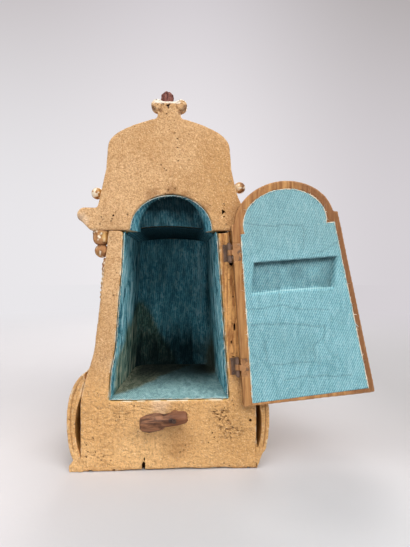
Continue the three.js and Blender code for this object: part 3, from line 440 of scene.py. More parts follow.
def cloth(name, rib, ribbed, folds, fold_shading_share, light, dark, mould=None, dusty=0.0):
    """Faded twill: ribs and folds are turns in a metre along each direction, mould a plane."""
    f = Finish(name, 0.05)
    wander = f.times(f.noise(60), 7.0)
    turns = [f.plus(f.along(*[TURN * c for c in way]), wander) for way in rib]
    ribs = f.heap(*[(f.math("SINE", turn), weight) for turn, weight in zip(turns, (1.0, 0.2))])
    slub = f.noise(800, 2)
    dashes = f.noise(520, 2, stretch=(1.6, 1.6, 0.35))
    weave = f.heap((ribs, ribbed), (slub, 0.5), (dashes, 0.4))
    f.colour = f.mix(f.band(weave, 0.12, 0.78), dark, light)
    # Folds: one field bumps the cloth, and also paints a highlight on one side of each fold and shade on the
    # other.
    fold_shading = f.noise(1, 4, stretch=folds, distortion=1.0)
    f.tint(fold_shading, 0.5, 0.6, f.mix(0.6, dark, "103848"), fold_shading_share)
    f.tint(fold_shading, 0.46, 0.36, f.mix(0.6, light, "cceaec"), fold_shading_share)
    f.tint(f.noise(640, 2), 0.6, 0.72, f.mix(0.5, light, "d6e8e6"), 0.5)
    f.tint(f.noise(26, 4), 0.54, 0.72, f.mix(0.5, dark, "78a09e"), 0.3)
    tide = f.math("ABSOLUTE", f.plus(f.noise(11), -0.56))
    f.tint(tide, 0.010, 0.003, "4a848e", 0.22)
    soil = f.add("ShaderNodeAttribute", attribute_name="soil").outputs["Fac"]
    if mould:
        # It has spread from the far left corner over walls and floor, and a little at the far right.
        reach = f.plus(f.along(*mould[:3]), mould[3])
        ragged = f.times(f.plus(f.noise(45, 4), -0.5), 0.022)
        grown = f.band(f.plus(reach, ragged), -0.004, 0.006)
        grown = f.times(grown, f.band(f.along(0, 1, 0), -0.070, -0.052))
        stained = f.mix(1.0, f.colour, (0.84, 0.54, 0.36, 1.0), "MULTIPLY")
        growth = f.mix(f.band(fold_shading, 0.42, 0.58, 0, 0.4), stained, "424a30")
        f.lay(grown, growth, 0.95)
        f.lay(f.spot(50, 112, 72, 42, 26, 16), "5c583e", 0.85)
    if dusty:
        f.tint(f.along(0, 0, 1), 0.17, 0.21, "809998", dusty)
    # Painted light from the sheet's attribute: a painted highlight where it is below zero, and painted shade
    # with a little stain above zero.
    f.tint(soil, 0, -1, "cce4e4")
    f.lay(soil, "061419", 0.92)
    height = f.heap((weave, 0.8), (f.noise(900, 2), 0.5), (fold_shading, -3 * fold_shading_share))
    return f.done(f.band(slub, 0.3, 0.7, 0.8, 0.95), height, 0.0006)


def frayed_thread():
    f = Finish("frayed_thread", 0.1)
    f.colour = f.mix(f.band(f.noise(170), 0.42, 0.6), "f0e8d4", "bad6d4")
    return f.done(0.9, f.noise(1200, 2), 0.0002)


OCHRE = ochre_paint("ochre_paint", True)
DOOR_PAINT = ochre_paint("door_paint", False)
WOOD = bare_wood()
GILT = gilding("gilding", 0.0, 0.0)
LEFT_BEAD_GILT = gilding("left_bead_gilding", 0.5, 0.45)
RIGHT_BEAD_GILT = gilding("right_bead_gilding", 0.95, 0.85)
CUP_GILT = gilding("capital_gilding", 0.78, 0.3)
BOLE = bole_wood()
DARK = dark_wood()
IRON = iron("iron", False)
HINGE_IRON = iron("hinge_iron", True)
PAINTED_IRON = painted_iron()
SHADED_HOLLOW = painted_shade_hollow()
FRAY = frayed_thread()
DOOR_LIGHT, DOOR_DARK = "9cccd4", "629aa7"
# The far wall, vault and niche take a darker copy of the twill's colours as painted shade.
FAR_LIGHT, FAR_DARK = "7ac0d0", "327c92"
WALL_LIGHT, WALL_DARK = "a4dce6", "4a99ac"
DUSTY_LIGHT, DUSTY_DARK = "accece", "709ca0"
ROOM_MOULD, FLOOR_MOULD = (-1, 0.30, -0.61, 0.030), (-1, 0.56, 0, -0.011)
DOOR_CLOTH = cloth("door_cloth", ((500, 0, -240), (40, 0, 360)), 0.22, (300, 300, 70), 0.16,
                   DOOR_LIGHT, DOOR_DARK, dusty=0.3)
FACE_CLOTH = cloth("facing_cloth", ((430, 0, 40),), 0.16, (330, 330, 130), 0.5,
                   FAR_LIGHT, FAR_DARK, ROOM_MOULD)
WALL_CLOTH = cloth("wall_cloth", ((0, 430, 60),), 0.16, (110, 110, 40), 0.95,
                   WALL_LIGHT, WALL_DARK, ROOM_MOULD)
FLAT_CLOTH = cloth("floor_cloth", ((568, 264, 0), (40, 420, 0)), 0.14, (230, 90, 90), 0.35,
                   DUSTY_LIGHT, DUSTY_DARK, FLOOR_MOULD)


# Pieces: meshes in model millimetres that ride on a CAD body.
ORIGIN = (0, BACK_Y, 0)


def to_scene(points):
    return (np.asarray(points, float) - ORIGIN) * MM


def to_model(places):
    return places / MM + ORIGIN


def rows(*columns):
    """Points from columns of coordinates; a single number fills its column."""
    return np.stack(np.broadcast_arrays(*columns), axis=1)


def triples(items, key):
    """What a mesh says of each of its points or faces, in rows of three."""
    flat = np.zeros(len(items) * 3)
    items.foreach_get(key, flat)
    return flat.reshape(-1, 3)


def linked(name, data):
    obj = bpy.data.objects.new(name, data)
    scene.collection.objects.link(obj)
    return obj


def reworked(mesh, work):
    whole = bmesh.new()
    whole.from_mesh(mesh)
    work(whole)
    whole.to_mesh(mesh)
    whole.free()


def weld(whole):
    bmesh.ops.remove_doubles(whole, verts=whole.verts, dist=WELD * MM)


def face_out(whole):
    bmesh.ops.recalc_face_normals(whole, faces=whole.faces)


def piece(name, points, faces, body, slot, material, smooth=True):
    mesh = bpy.data.meshes.new(name)
    mesh.from_pydata(to_scene(points).tolist(), [], [list(map(int, face)) for face in faces])
    mesh.validate()
    mesh.materials.append(material)
    obj = linked(name, mesh)
    mesh.polygons.foreach_set("use_smooth", [smooth] * len(mesh.polygons))
    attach(obj, body)
    return obj


def settled(obj):
    """The object's mesh with its modifiers applied, in place of the one it had."""
    shaped = bpy.data.meshes.new_from_object(obj.evaluated_get(bpy.context.evaluated_depsgraph_get()))
    obj.modifiers.clear()
    obj.data = shaped
    return shaped


def carved(node, cell, materials, relief=None, wobble=0.2, ease=2, pick=None, holes=None, bend=None):
    """A worn copy of a CAD node: evenly meshed, eased at its edges, bent, carved by relief and drilled."""
    source = nodes[node]
    obj = linked(node + "_carved", source.data.copy())
    reworked(obj.data, weld)
    remesh = obj.modifiers.new("even", "REMESH")
    remesh.mode = "VOXEL"
    remesh.voxel_size = cell * MM
    obj.modifiers.new("ease", "SMOOTH").iterations = ease
    mesh = settled(obj)
    points, normals = to_model(triples(mesh.vertices, "co")), triples(mesh.vertex_normals, "vector")
    if bend is not None:
        points = bend(points)
    offset = wobble * (0.65 * field(points, 19, 3) + 0.35 * field(points, 6, 7))
    if relief is not None:
        offset = offset + relief(points, normals)
    mesh.vertices.foreach_set("co", to_scene(points + normals * offset[:, None]).ravel())
    mesh.update()
    mesh.materials.clear()
    for material in materials:
        mesh.materials.append(material)
    if pick is not None:
        picked = pick(to_model(triples(mesh.polygons, "center")))
        mesh.polygons.foreach_set("material_index", picked.astype(np.int32))
    if holes is not None:
        drill(obj, holes)
    obj.data.polygons.foreach_set("use_smooth", [True] * len(obj.data.polygons))
    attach(obj, source["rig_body"])
    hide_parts(node)


# Worm holes, cracks and chips: ragged tapered plugs cut out of the wood, whose cut faces are painted dark as
# shade.
def plug(x, z, width, height, depth, sides=7, seed=0):
    rng = np.random.default_rng(seed)
    turn = np.linspace(0, TURN, sides, endpoint=False) + rng.uniform(0, 1)
    reach = rng.uniform(0.7, 1.15, sides)
    outer = [(x + width / 2 * r * math.cos(a), PLUG_HEAD_Y, z + height / 2 * r * math.sin(a))
             for a, r in zip(turn, reach)]
    inner = [(x + (p[0] - x) * PLUG_TAPER, depth, z + (p[2] - z) * PLUG_TAPER) for p in outer]
    faces = [tuple(range(sides)), tuple(range(2 * sides - 1, sides - 1, -1))]
    faces += [(i, sides + i, sides + (i + 1) % sides, (i + 1) % sides) for i in range(sides)]
    return outer + inner, faces


def drill(obj, holes):
    points, faces = [], []
    for index, hole in enumerate(holes):
        made, joined = plug(*hole, seed=40 + index)
        faces += [tuple(len(points) + i for i in face) for face in joined]
        points += made
    mesh = bpy.data.meshes.new("plugs")
    mesh.from_pydata(to_scene(points).tolist(), [], faces)
    reworked(mesh, face_out)
    mesh.materials.append(SHADED_HOLLOW)
    cut = obj.modifiers.new("holes", "BOOLEAN")
    tool = cut.object = linked("plugs", mesh)
    cut.operation = "DIFFERENCE"
    cut.solver = "EXACT"
    cut.material_mode = "TRANSFER"
    settled(obj)
    bpy.data.objects.remove(tool)


def back_face(points):
    """Paint on the flat back, bare wood underneath and gilding elsewhere."""
    return np.where(points[:, 2] < WOOD_BELOW_Z, 2, np.where(points[:, 1] < BODY_PAINT_Y, 0, 1))


# Carved relief, as heights along the surface's own normal.
def leaf_row(along, rise, pitch, proud):
    u = (along / pitch - np.floor(along / pitch)) * 2 - 1
    body = 1 - np.abs(u) ** 1.7
    veins = np.cos(TURN * (rise / 8.5 - np.abs(u) * 1.1))
    rib = ridge(u, 0.13)
    return proud * (body - 0.45) + 0.45 * veins * (1 - np.abs(u)) + 0.7 * rib


def panel_relief(side):
    def relief(p, n):
        x, y, z = p.T
        outward, along = (side * n[:, 0], y) if side else (n[:, 1], x)
        facing = step(outward, 0.25, 0.6) * (step(y, 3, 16) if side else 1)
        leaf = leaf_row(along + 10, z, 27.0, 1.7) * step(z, 12, 20) * step(z, 84, 74)
        roll = 1.2 * ridge(z - 82, 5) + 0.9 * ridge(z - 6, 5)
        carving = facing * (leaf + roll - 1.3)
        if side:
            level = np.clip((z / 2.5).astype(int), 0, 40)
            outmost = np.zeros(41)
            np.maximum.at(outmost, level, np.where(y < 6, side * x, 0))
            inset = np.interp(z, np.arange(41) * 2.5 + 1.25, outmost) - side * x
            lips = 0.5 * ridge(inset - 1.2, 1.3) - 1.1 * ridge(inset - 3.4, 1.1)
            lips -= 0.8 * ridge(inset - 6.4, 1.2)
            carving += step(-n[:, 1], 0.5, 0.9) * step(y, 8, 4) * step(z, 12, 22) * lips
        return carving
    return relief


def broken_foot(points):
    """The right panel has lost its foot at the back."""
    x, y, z = points.T
    limit = BASE_HALF - 0.4 + 0.45 * np.maximum(z, 0) + 0.7 * field(points, 5, 83)
    share = step(y, 34, 18) * step(z, 17, 13)
    return rows(x + (np.minimum(x, limit) - x) * share, y, z)


def cornice_relief(p, n):
    along = np.where(np.abs(n[:, 0]) > np.abs(n[:, 1]), p[:, 1], p[:, 0])
    facing = step(np.maximum(np.abs(n[:, 0]), n[:, 1]), 0.3, 0.6)
    z = p[:, 2] - BODY_TOP
    eggs = 1.3 * np.abs(np.cos(math.pi * along / 8.6)) ** 0.7 * ridge(z - 6.5, 4)
    beads = 0.9 * np.abs(np.cos(math.pi * along / 4.3)) ** 0.6 * ridge(z - 14, 2.6)
    return facing * (eggs + beads - 0.4)


def roof_relief(p, n):
    turn = np.arctan2(p[:, 0], p[:, 1] - 30)
    rise = (p[:, 2] - BODY_TOP - 16) / 10.0
    row = np.floor(rise)
    up = rise - row
    across = turn / (math.pi / 15) + 0.5 * (row % 2)
    u = across - np.floor(across) - 0.5
    lower = up < 2.6 * u * u
    up = np.where(lower, up + 1, up)
    u = np.where(lower, np.abs(u) - 0.5, u)
    scale = 1.5 * (1 - (up - 2.6 * u * u)) + 0.5 * ridge(u, 0.07)
    facing = step(n[:, 1] + np.abs(n[:, 0]), 0.25, 0.6)
    return facing * np.clip(scale, -0.6, 1.6) * step(p[:, 2], 300, 290)


def capital_relief(side, y):
    x = side * (TOP_HALF * narrowed(y) + CAPITAL_OUTSET)

    def relief(p, n):
        turn = np.arctan2(p[:, 1] - y, side * (p[:, 0] - x))
        z = p[:, 2] - BODY_TOP
        cup = 0.55 * np.cos(9 * turn) * ridge(z + 5.5, 5) + 0.5 * ridge(z + 1.5, 1.4)
        ball = 0.45 * np.cos(8 * turn + (z + 17) * 0.25) * ridge(z + 17.5, 5.5)
        return cup + ball
    return relief


def drop_relief(side, y):
    def relief(p, n):
        w = p[:, 1] - y
        veins = np.cos(TURN * (p[:, 2] / 4.2 + np.abs(w) / 4.5))
        return step(side * n[:, 0], 0.1, 0.5) * (0.4 * veins + 0.7 * ridge(w, 0.8) - 0.2)
    return relief


def frame_relief(p, n):
    x, z = p[:, 0], p[:, 2]
    middle = FRAME_HALF - FRAME_WIDTH / 2
    over = z > FRAME_SPRING_Z
    radius = np.hypot(x, z - FRAME_SPRING_Z)
    turn = np.arctan2(np.abs(x), np.maximum(z - FRAME_SPRING_Z, 1e-6))
    low = z < FRAME_SILL_Z + FRAME_WIDTH
    d = np.where(over, radius - middle, np.where(low, z - FRAME_SILL_Z - FRAME_WIDTH / 2, np.abs(x) - middle))
    t = np.where(over, turn * middle, np.where(low, np.abs(x), FRAME_SPRING_Z - z))
    bead = (t / 5.4 - np.floor(t / 5.4) - 0.5) * 5.4
    pearl = 1.7 * np.sqrt(np.clip(1 - (d / 2.5) ** 2 - (bead / 2.5) ** 2, 0, 1))
    facing = step(n[:, 1], 0.5, 0.8)
    return facing * (pearl - 0.9 * ridge(d, 2.9) + 0.5 * ridge(np.abs(d) - 3.6, 0.8))


def ray_relief(p, n):
    turn = np.arctan2(p[:, 2] - SUN_Z, p[:, 0]) / (TURN) * 24
    u = np.abs(turn - np.round(turn)) * 2
    return step(n[:, 1], 0.4, 0.8) * (1.2 * (1 - u) - 0.5)


def boss_relief(p, n):
    dx, dz = p[:, 0], p[:, 2] - SUN_Z
    radius = np.hypot(dx, dz)
    turn = np.arctan2(dz, dx)
    petals = np.abs(np.cos(4 * turn)) ** 0.6 * ridge(radius - 7.5, 4.2)
    return step(n[:, 1], 0.1, 0.4) * (petals + 1.3 * ridge(radius, 3.4) - 0.4)


def lattice(a, b, pitch):
    """Slanted bars that cross."""
    return sum(np.abs(np.sin(math.pi * slant / pitch)) ** 6 for slant in (a + b, a - b))


def body_relief(p, n):
    x, y, z = p.T
    side = step(np.abs(n[:, 0]), 0.6, 0.9) * step(np.abs(x) - 45 * narrowed(y), 0, 3)
    inside = step(y, 26, 27.2) * step(y, 126, 124.8) * step(z, 98, 99.2) * step(z, 197, 195.8)
    rim = ridge(np.maximum(np.abs(y - 76) - 50, np.abs(z - 147.5) - 49.5), 2.6)
    sides = side * (inside * (-0.9 + 0.55 * lattice(y, z, 14)) + rim)
    front = step(n[:, 1], 0.6, 0.9) * step(y, 146, 149) * step(z, 90, 92) * step(z, 208, 206)
    radial = np.arctan2(z - SUN_Z, x) / (TURN) * 48
    radius = np.hypot(x, z - FRAME_SPRING_Z)
    field_in = np.where(z > FRAME_SPRING_Z, radius < 29, np.abs(x) < 29)
    glory = 0.5 * np.abs(np.sin(math.pi * radial))
    diaper = 0.6 * lattice(x, z, 12)
    return sides + front * np.where(field_in, glory - 0.3, diaper - 0.3)


# Worn wood of the body, gable and door, with the holes that show in its back.
BODY_HOLES = [
    (-30.5, 56.5, 1.8, 1.8, 4), (71.5, 42.4, 3.1, 3.6, 5), (-71.5, 13, 2, 2, 3), (-57, 13, 1.7, 1.7, 3),
    (-50.5, 9.5, 1.8, 1.8, 3), (-43, 47, 2.4, 1.6, 2), (-38, 45, 1.8, 1.4, 2), (-60, 40, 1.4, 1.4, 2),
    (-66, 30, 1.5, 1.2, 2), (39, 50.5, 2.4, 1.6, 2), (42.5, 48, 3.4, 2.2, 2.4), (46.5, 49.5, 2.2, 2.6, 2.2),
    (50, 46.5, 2.6, 1.8, 2), (44.5, 43.5, 2, 2.4, 2), (51.5, 42.5, 1.8, 1.4, 1.6), (45.5, 37, 3.6, 1.4, 1.6),
    (50.5, 35, 4.4, 1.8, 1.8), (55.5, 36.5, 3, 1.4, 1.6), (59.5, 34, 3.6, 1.6, 1.8), (63.5, 36, 2, 1.4, 1.6),
    (48, 31.5, 2, 1.2, 1.4), (39.5, 28, 1.8, 1.6, 1.8), (42, 24.5, 1.4, 1.6, 1.6), (-22.5, 2, 4.6, 20, 5, 6),
    (-21.6, 10, 2.2, 6, 4, 5), (56.2, 151.5, 1.9, 2.2, 3), (54.6, 111.5, 1.9, 5, 4), (-48, 1, 6, 3, 2),
    (12, 0, 8, 2, 1.5), (-68, 0, 7, 4, 3), (70, 0, 6, 4, 3), (-62, 68, 1.3, 1.3, 2),
    (46.5, 208.9, 16, 5, 8, 9), (54.5, 180.5, 5.5, 4.5, 6), (57.5, 84.5, 6, 4, 6), (56.5, 98.5, 4, 1.6, 3),
    (57.3, 124.5, 2.3, 9, 5),
]
GABLE_HOLES = [
    (-48.5, 222.5, 2.6, 2.4, 5), (-49.5, 219.5, 1.8, 2.4, 2), (-46.5, 225.5, 2, 1.4, 1.4),
    (7, 290, 1.6, 1.6, 4), (47.4, 226.6, 5.2, 6.6, 8, 3), (48, 222, 4, 2, 1.2), (48.6, 232, 1.2, 2, 1.6),
    (-0.9, 318.5, 5.4, 8, 6, 3), (-1, 245.5, 2.2, 2, 1), (5, 246.5, 2, 2.4, 1), (-36, 243, 1.2, 1.2, 1.6),
    (4.4, 306, 1.6, 1.4, 1.4), (0, 298, 3, 1.2, 0.8), (-30, 300, 1.2, 1.2, 1.6), (36, 275, 1.2, 1.2, 1.6),
]


def left_lip(z):
    """How far the mouth's left edge stands in from the straight line of the wall."""
    return 2.6 * step(z, 84, 108) + 0.7 * ridge(z - 178, 30)


def worn_back(points):
    """The left stile stands in at the mouth, and the lower edge is worn off the ground along its middle."""
    x, y, z = points.T
    edge = step(y, 9, 1) * step(np.abs(x + chamber_half(z, 0)), 7, 1) * step(z, BODY_TOP + 1, BODY_TOP - 2)
    along = step(np.abs(x - 6), 52, 40) * (0.9 + 0.5 * field(points * (1, 0, 0), 14, 81))
    lifted = points + np.outer(step(z, 4, 0.2) * step(y, 12, 3) * along, (0, 0, 1))
    return lifted + np.outer(edge * left_lip(z), (1, 0, 0))


carved("body_block", 1.25, [OCHRE, GILT, WOOD, SHADED_HOLLOW], body_relief, 0.25, 2,
       back_face, BODY_HOLES, worn_back)


def volute_relief(p, n):
    """A groove round the disc of each volute on the back of the gable."""
    grooves = sum(ridge(np.hypot(p[:, 0] - side * 11.2, p[:, 2] - 319.2) - 4.6, 1.3) for side in (-1, 1))
    return -1.1 * np.clip(grooves, 0, 1) * step(-n[:, 1], 0.4, 0.8) * step(p[:, 2], 311.5, 313)


carved("gable_board", 0.9, [OCHRE, GILT, WOOD, SHADED_HOLLOW], volute_relief, 0.25, 2,
       lambda p: p[:, 1] >= GABLE_PAINT_Y, GABLE_HOLES)


def swung(points):
    """Half a turn about the hinge pin, from shut to where the door stands or back."""
    turn = np.array(Matrix.Rotation(math.pi, 3, PIN_AXIS))
    return (points - np.array(PIN_FOOT)) @ turn.T + np.array(PIN_FOOT)


def sloped(shut):
    """The foot of the shut door hangs lower towards its free side."""
    share = ramp(shut[:, 0], MOUTH_FLOOR_HALF, -MOUTH_FLOOR_HALF)
    low = ramp(shut[:, 2], FLOOR_Z, FLOOR_Z - FOOT_REACH)
    return shut - np.outer(FOOT_DROP * share * low, (0, 0, 1))


def door_face(points):
    """Paint on the door's outer face, bare wood on its inner face and edges."""
    return swung(points)[:, 1] < DOOR_PAINT_Y


carved("door_board", 1.0, [WOOD, DOOR_PAINT], None, 0.22, 2, door_face,
       bend=lambda points: swung(sloped(swung(points))))

# Gilded ornament.
for hand, side in (*SIDES, ("front", 0)):
    carved(f"base_panel_{hand}", 0.9, [GILT, OCHRE], panel_relief(side), 0.3, 2,
           lambda p: p[:, 1] < PANEL_PAINT_Y, bend=broken_foot if side == 1 else None)
for name, cell, relief, wobble, ease in (
        ("cornice_board", 0.9, cornice_relief, 0.2, 1), ("bell_roof", 1.0, roof_relief, 0.2, 2),
        ("front_frame", 0.6, frame_relief, 0.1, 2), ("sun_rays", 0.6, ray_relief, 0.1, 1),
        ("sun_boss", 0.5, boss_relief, 0.1, 1)):
    carved(name, cell, [GILT], relief, wobble, ease)
for hand, side in SIDES:
    worn = LEFT_BEAD_GILT if side < 0 else RIGHT_BEAD_GILT
    carved(f"gable_bead_{hand}", 0.5, [worn], None, 0.3, 2)
    for row, y in (("rear", 7.6), ("front", BODY_DEPTH - 7.6)):
        worn = CUP_GILT if row == "rear" else GILT
        carved(f"capital_{row}_{hand}", 0.5, [worn], capital_relief(side, y), 0.35, 1)
        carved(f"leaf_drop_{row}_{hand}", 0.5, [worn], drop_relief(side, y), 0.35, 1)


# Broken peg stub and whittled turn button.
def broken_top(p, n):
    return step(p[:, 2], 326, 331) * (1.1 * field(p, 2.6, 21) - 0.5) + 0.4 * field(p, 3.5, 22)


carved("finial_peg", 0.5, [BOLE], broken_top, 0.2, 2)


def between_rings(start, count):
    """Quads from a ring of points to the one after it."""
    turns = [(start + k, start + (k + 1) % count) for k in range(count)]
    return [(a, b, b + count, a + count) for a, b in turns]


def worn_edges(obj, width):
    worn = obj.modifiers.new("worn_edges", "BEVEL")
    worn.width = width * MM
    worn.segments = 2
    return worn


def whittled_button():
    """Knife-cut bar on a round post, drawn level about its pivot and then dipped to the left."""
    rng = np.random.default_rng(11)
    stations = [(-29.6, 3.6, 2.2), (-28.2, 5.6, 1.0), (-22.5, 7.3, 0.2), (-15, 7.6, 0.0),
                (-11, 6.9, 0.2), (-8.6, 5.5, 0.7), (-4, 5.5, 0.9), (2, 5.9, 0.6),
                (8, 5.5, 0.8), (10.4, 4.6, 1.4), (11.3, 3.0, 2.4)]
    outline = [(0.0, -0.8), (0.5, -1.0), (0.85, -0.72), (1.0, -0.25),
               (1.0, 0.2), (0.62, 0.72), (0.2, 1.0), (0.0, 0.85)]
    points, faces = [], []
    for x, half, sunk in stations:
        deep = BAR_BACK_Y - BAR_FRONT_Y - sunk
        for out, up in outline:
            nick = rng.uniform(-0.35, 0.35, 3)
            points.append((x + nick[0], BAR_BACK_Y - out * deep + nick[1] * (out > 0), half * up + nick[2]))
    around, base, sides = len(outline), len(points), 11
    for start in range(0, base - around, around):
        faces += between_rings(start, around)
    faces += [tuple(range(around - 1, -1, -1)), tuple(range(base - around, base))]
    for y in (-0.3, BAR_BACK_Y - 1.0):
        for k in range(sides):
            reach = 4.2 + rng.uniform(-0.3, 0.2)
            points.append((reach * math.cos(TURN * k / sides), y, reach * math.sin(TURN * k / sides)))
    faces += [(a, a + sides, b + sides, b) for a, b, *_ in between_rings(base, sides)]
    faces += [tuple(range(base, base + sides)), tuple(range(base + 2 * sides - 1, base + sides - 1, -1))]
    dip = math.radians(9)
    level = np.array(points)
    x = level[:, 0] * math.cos(dip) - level[:, 2] * math.sin(dip) + BUTTON_X
    z = level[:, 0] * math.sin(dip) + level[:, 2] * math.cos(dip) + BUTTON_Z
    obj = piece("whittled_button", rows(x, level[:, 1], z), faces, "button", "dark_wood", DARK, False)
    reworked(obj.data, face_out)
    reworked(obj.data, lambda whole: bmesh.ops.triangulate(whole, faces=whole.faces))
    worn_edges(obj, 0.3)
    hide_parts("turn_button")


whittled_button()


# Cloth sheets, pasted to the wood they line.
def grid(lines, columns, place):
    """Points and quads of a sheet whose place is given by two shares from 0 to 1."""
    v, u = np.meshgrid(np.linspace(0, 1, lines + 1), np.linspace(0, 1, columns + 1), indexing="ij")
    over = columns + 1
    starts = [r * over + c for r in range(lines) for c in range(columns)]
    return place(u.ravel(), v.ravel()), [(a, a + 1, a + over + 1, a + over) for a in starts]


def sheet(name, made, material, node, soil, body="body"):
    """A cloth sheet; the function given with it returns painted shade, with some stain, at each point, and
    below 0 a painted highlight.
    """
    points, faces = made
    obj = piece(name, points, faces, body, "cloth", material)
    darkening = obj.data.attributes.new("soil", "FLOAT", "POINT")
    darkening.data.foreach_set("value", np.clip(soil(points), -1, 1))
    woven = obj.modifiers.new("thickness", "SOLIDIFY")
    woven.thickness = CLOTH_THICK * MM
    woven.offset = 0.0
    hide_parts(node)


def puckers(points, size, seed):
    return 0.6 * field(points, size, seed) + 0.4 * field(points, size / 2.5, seed + 1)


def floor_sheet(u, v):
    y = 1.1 + v * (CHAMBER_DEPTH - 1.7)
    half = chamber_half(FLOOR_Z + 0.6, y) - 0.5
    flat = rows((2 * u - 1) * half, y, FLOOR_Z + 0.7)
    flat[:, 2] += 0.35 * puckers(flat, 16, 31) + 0.25
    flat[:, 1] += np.where(v == 0, 0.5 * field(flat, 5, 33), 0)
    return flat


def wall_sheet(side):
    def place(u, v):
        y = 1.2 + u * (CHAMBER_DEPTH - 2.5)
        z = FLOOR_Z + 0.9 + v * (BODY_TOP - FLOOR_Z - 1.8)
        flat = rows(side * (chamber_half(z, y) - 0.7), y, z)
        folds = np.sin(y / 1.7 + 2.2 * field(flat * (1, 0.4, 1), 22, 35)) * step(y, 110, 30)
        scallops = np.sin(z / 1.5 + 2.4 * field(flat, 9, 37)) * step(y, 60, 10)
        slack = 0.32 * folds + 0.26 * scallops + 0.35 * puckers(flat * (1, 1, 0.35), 12, 36)
        flat[:, 0] -= side * (0.75 + slack)
        flat[:, 1] += np.where(u == 0, 0.6 * field(flat, 4, 38), 0)
        if side < 0:
            flat[:, 0] += left_lip(z) * step(y, 9, 1)
        return flat
    return place


def far_sheet(u, v):
    z = FLOOR_Z + 0.9 + v * (BODY_TOP - FLOOR_Z - 1.5)
    half = chamber_half(z, CHAMBER_DEPTH) - 0.8
    lunette = (VAULT_RISE - 1.0) * np.sqrt(ridge(2 * u - 1, 1))
    flat = rows((2 * u - 1) * half, CHAMBER_DEPTH - 0.8, z + v * lunette)
    flat[:, 1] -= 0.3 + 0.45 * puckers(flat * (1, 1, 0.3), 11, 41)
    corner = ramp(half - np.abs(flat[:, 0]), 14, 0)
    foot = ramp(z, FLOOR_Z + 10, FLOOR_Z)
    flat[:, 1] -= 13 * corner ** 2.2 + 6 * foot ** 2
    return flat


def vault_sheet(u, v):
    """Shallow vault of the chamber with a flat margin along each side."""
    y = NICHE_DEPTH + 0.3 + v * (CHAMBER_DEPTH - NICHE_DEPTH - 1.1)
    half = VAULT_HALF - 0.7
    side = chamber_half(BODY_TOP, y) - 0.5
    turn = math.pi * ramp(u, VAULT_MARGIN, 1 - VAULT_MARGIN)
    margin = ramp(np.abs(u - 0.5), 0.5 - VAULT_MARGIN, 0.5) * np.sign(u - 0.5)
    x = margin * (side - half) - half * np.cos(turn)
    z = BODY_TOP - 0.35 + (VAULT_RISE - 0.7) * np.sin(turn)
    flat = rows(x, y, z)
    flat[:, 2] -= 0.25 + 0.2 * puckers(flat * (1, 0.5, 1), 14, 44)
    return flat


def niche_sheet(u, v):
    """Splayed underside of the arch from its front edge, then down over the flat back wall."""
    turn = math.pi * (1 - u)
    down = ramp(v, NICHE_TURN, 1)
    y = 1.0 + ramp(v, 0, NICHE_TURN) * (NICHE_DEPTH - 1.8)
    share = y / NICHE_DEPTH
    x = ARCH_SHIFT + (NICHE_HALF - 0.8) * np.cos(turn) * (1 - NICHE_SPLAY / NICHE_HALF * share)
    z = BODY_TOP + 0.4 + (NICHE_RISE - 0.9) * np.sin(turn) * (1 + NICHE_LIFT / NICHE_RISE * share)
    hem = BODY_TOP - 0.3 + VAULT_RISE * np.sqrt(ridge(x, VAULT_HALF))
    z = np.where(down > 0, z + (np.minimum(hem, z) - z) * down, z)
    flat = rows(x, y, z)
    flat[:, 1] -= np.where(down > 0, 0.2 * (1 + puckers(flat * (1, 1, 0.4), 9, 47)), 0)
    flat[:, 1] += np.where(v == 0, 0.4 * field(flat, 4, 48), 0)
    return flat


# Painted shade on the floor cloth: darker towards the back of the chamber, and away from its sides.
def floor_shade(p):
    x, y, _ = p.T
    return 0.02 + 0.93 * step(y + 9 * field(p, 14, 71), 12, 108) * step(np.abs(x), 56, 34)


# Painted shade on the side walls: darker towards the far wall, with random streaks near the mouth.
def wall_shade(p):
    y = p[:, 1]
    return 0.45 * step(y, 60, 138) + 0.1 * field(p * (1, 1, 0.2), 3.5, 72) * step(y, 110, 50)


# Painted shade on the far wall: darkest low down from the left to the middle and under the vault, plus a
# shade line and a paler painted band near the right corner, with random tone.
def far_shade(p):
    x, _, z = p.T
    low = step(z + 6 * field(p, 12, 75), 124, 74) * step(x, 46, 18)
    stripes = (0.6 * ridge(x - 42, 4) - 0.35 * ridge(x - 30, 9)) * step(z, 96, 120)
    return 0.18 + 0.3 * field(p * (1, 1, 0.12), 3, 73) + 0.85 * low + 0.25 * step(z, 198, 212) + stripes


# Painted shade in the niche: its back wall dark, and the top of the arch's underside dark, with random tone.
def niche_shade(p):
    high = 0.65 * step(p[:, 2] - BODY_TOP, 17, 30)
    return 0.85 * step(p[:, 1], 10, 18.4) + 0.15 * field(p * (1, 1, 0.3), 4, 74) + high


# Painted shade: the vault near black, somewhat less towards its sides.
def vault_shade(p):
    return 1 - 0.5 * step(np.abs(p[:, 0]), 26, 40)


sheet("floor_cloth", grid(90, 70, floor_sheet), FLAT_CLOTH,
      "lining_floor", floor_shade)
for hand, side in SIDES:
    sheet(f"{hand}_wall_cloth", grid(110, 120, wall_sheet(side)), WALL_CLOTH,
          f"lining_{hand}_wall", wall_shade)
sheet("far_wall_cloth", grid(90, 60, far_sheet), FACE_CLOTH,
      "lining_far_wall", far_shade)
sheet("vault_cloth", grid(60, 60, vault_sheet), FACE_CLOTH,
      "lining_ceiling", vault_shade)
sheet("niche_cloth", grid(60, 90, niche_sheet), FACE_CLOTH,
      "lining_niche", niche_shade)


# Door cloth: drawn for the shut door, dipped into the recess, then swung to where the door stands.
def door_edges(z):
    """Left and right ends of the cloth on the shut door at a height."""
    side = chamber_half(z, 0) - CLOTH_EDGE / math.cos(MOUTH_TILT)
    arch = NICHE_HALF * np.sqrt(ridge(z - BODY_TOP, NICHE_RISE - ARCH_DROP))
    below = z <= BODY_TOP - CLOTH_SHOULDER
    return np.where(below, -side, ARCH_SHIFT - arch), np.where(below, side, ARCH_SHIFT + arch)


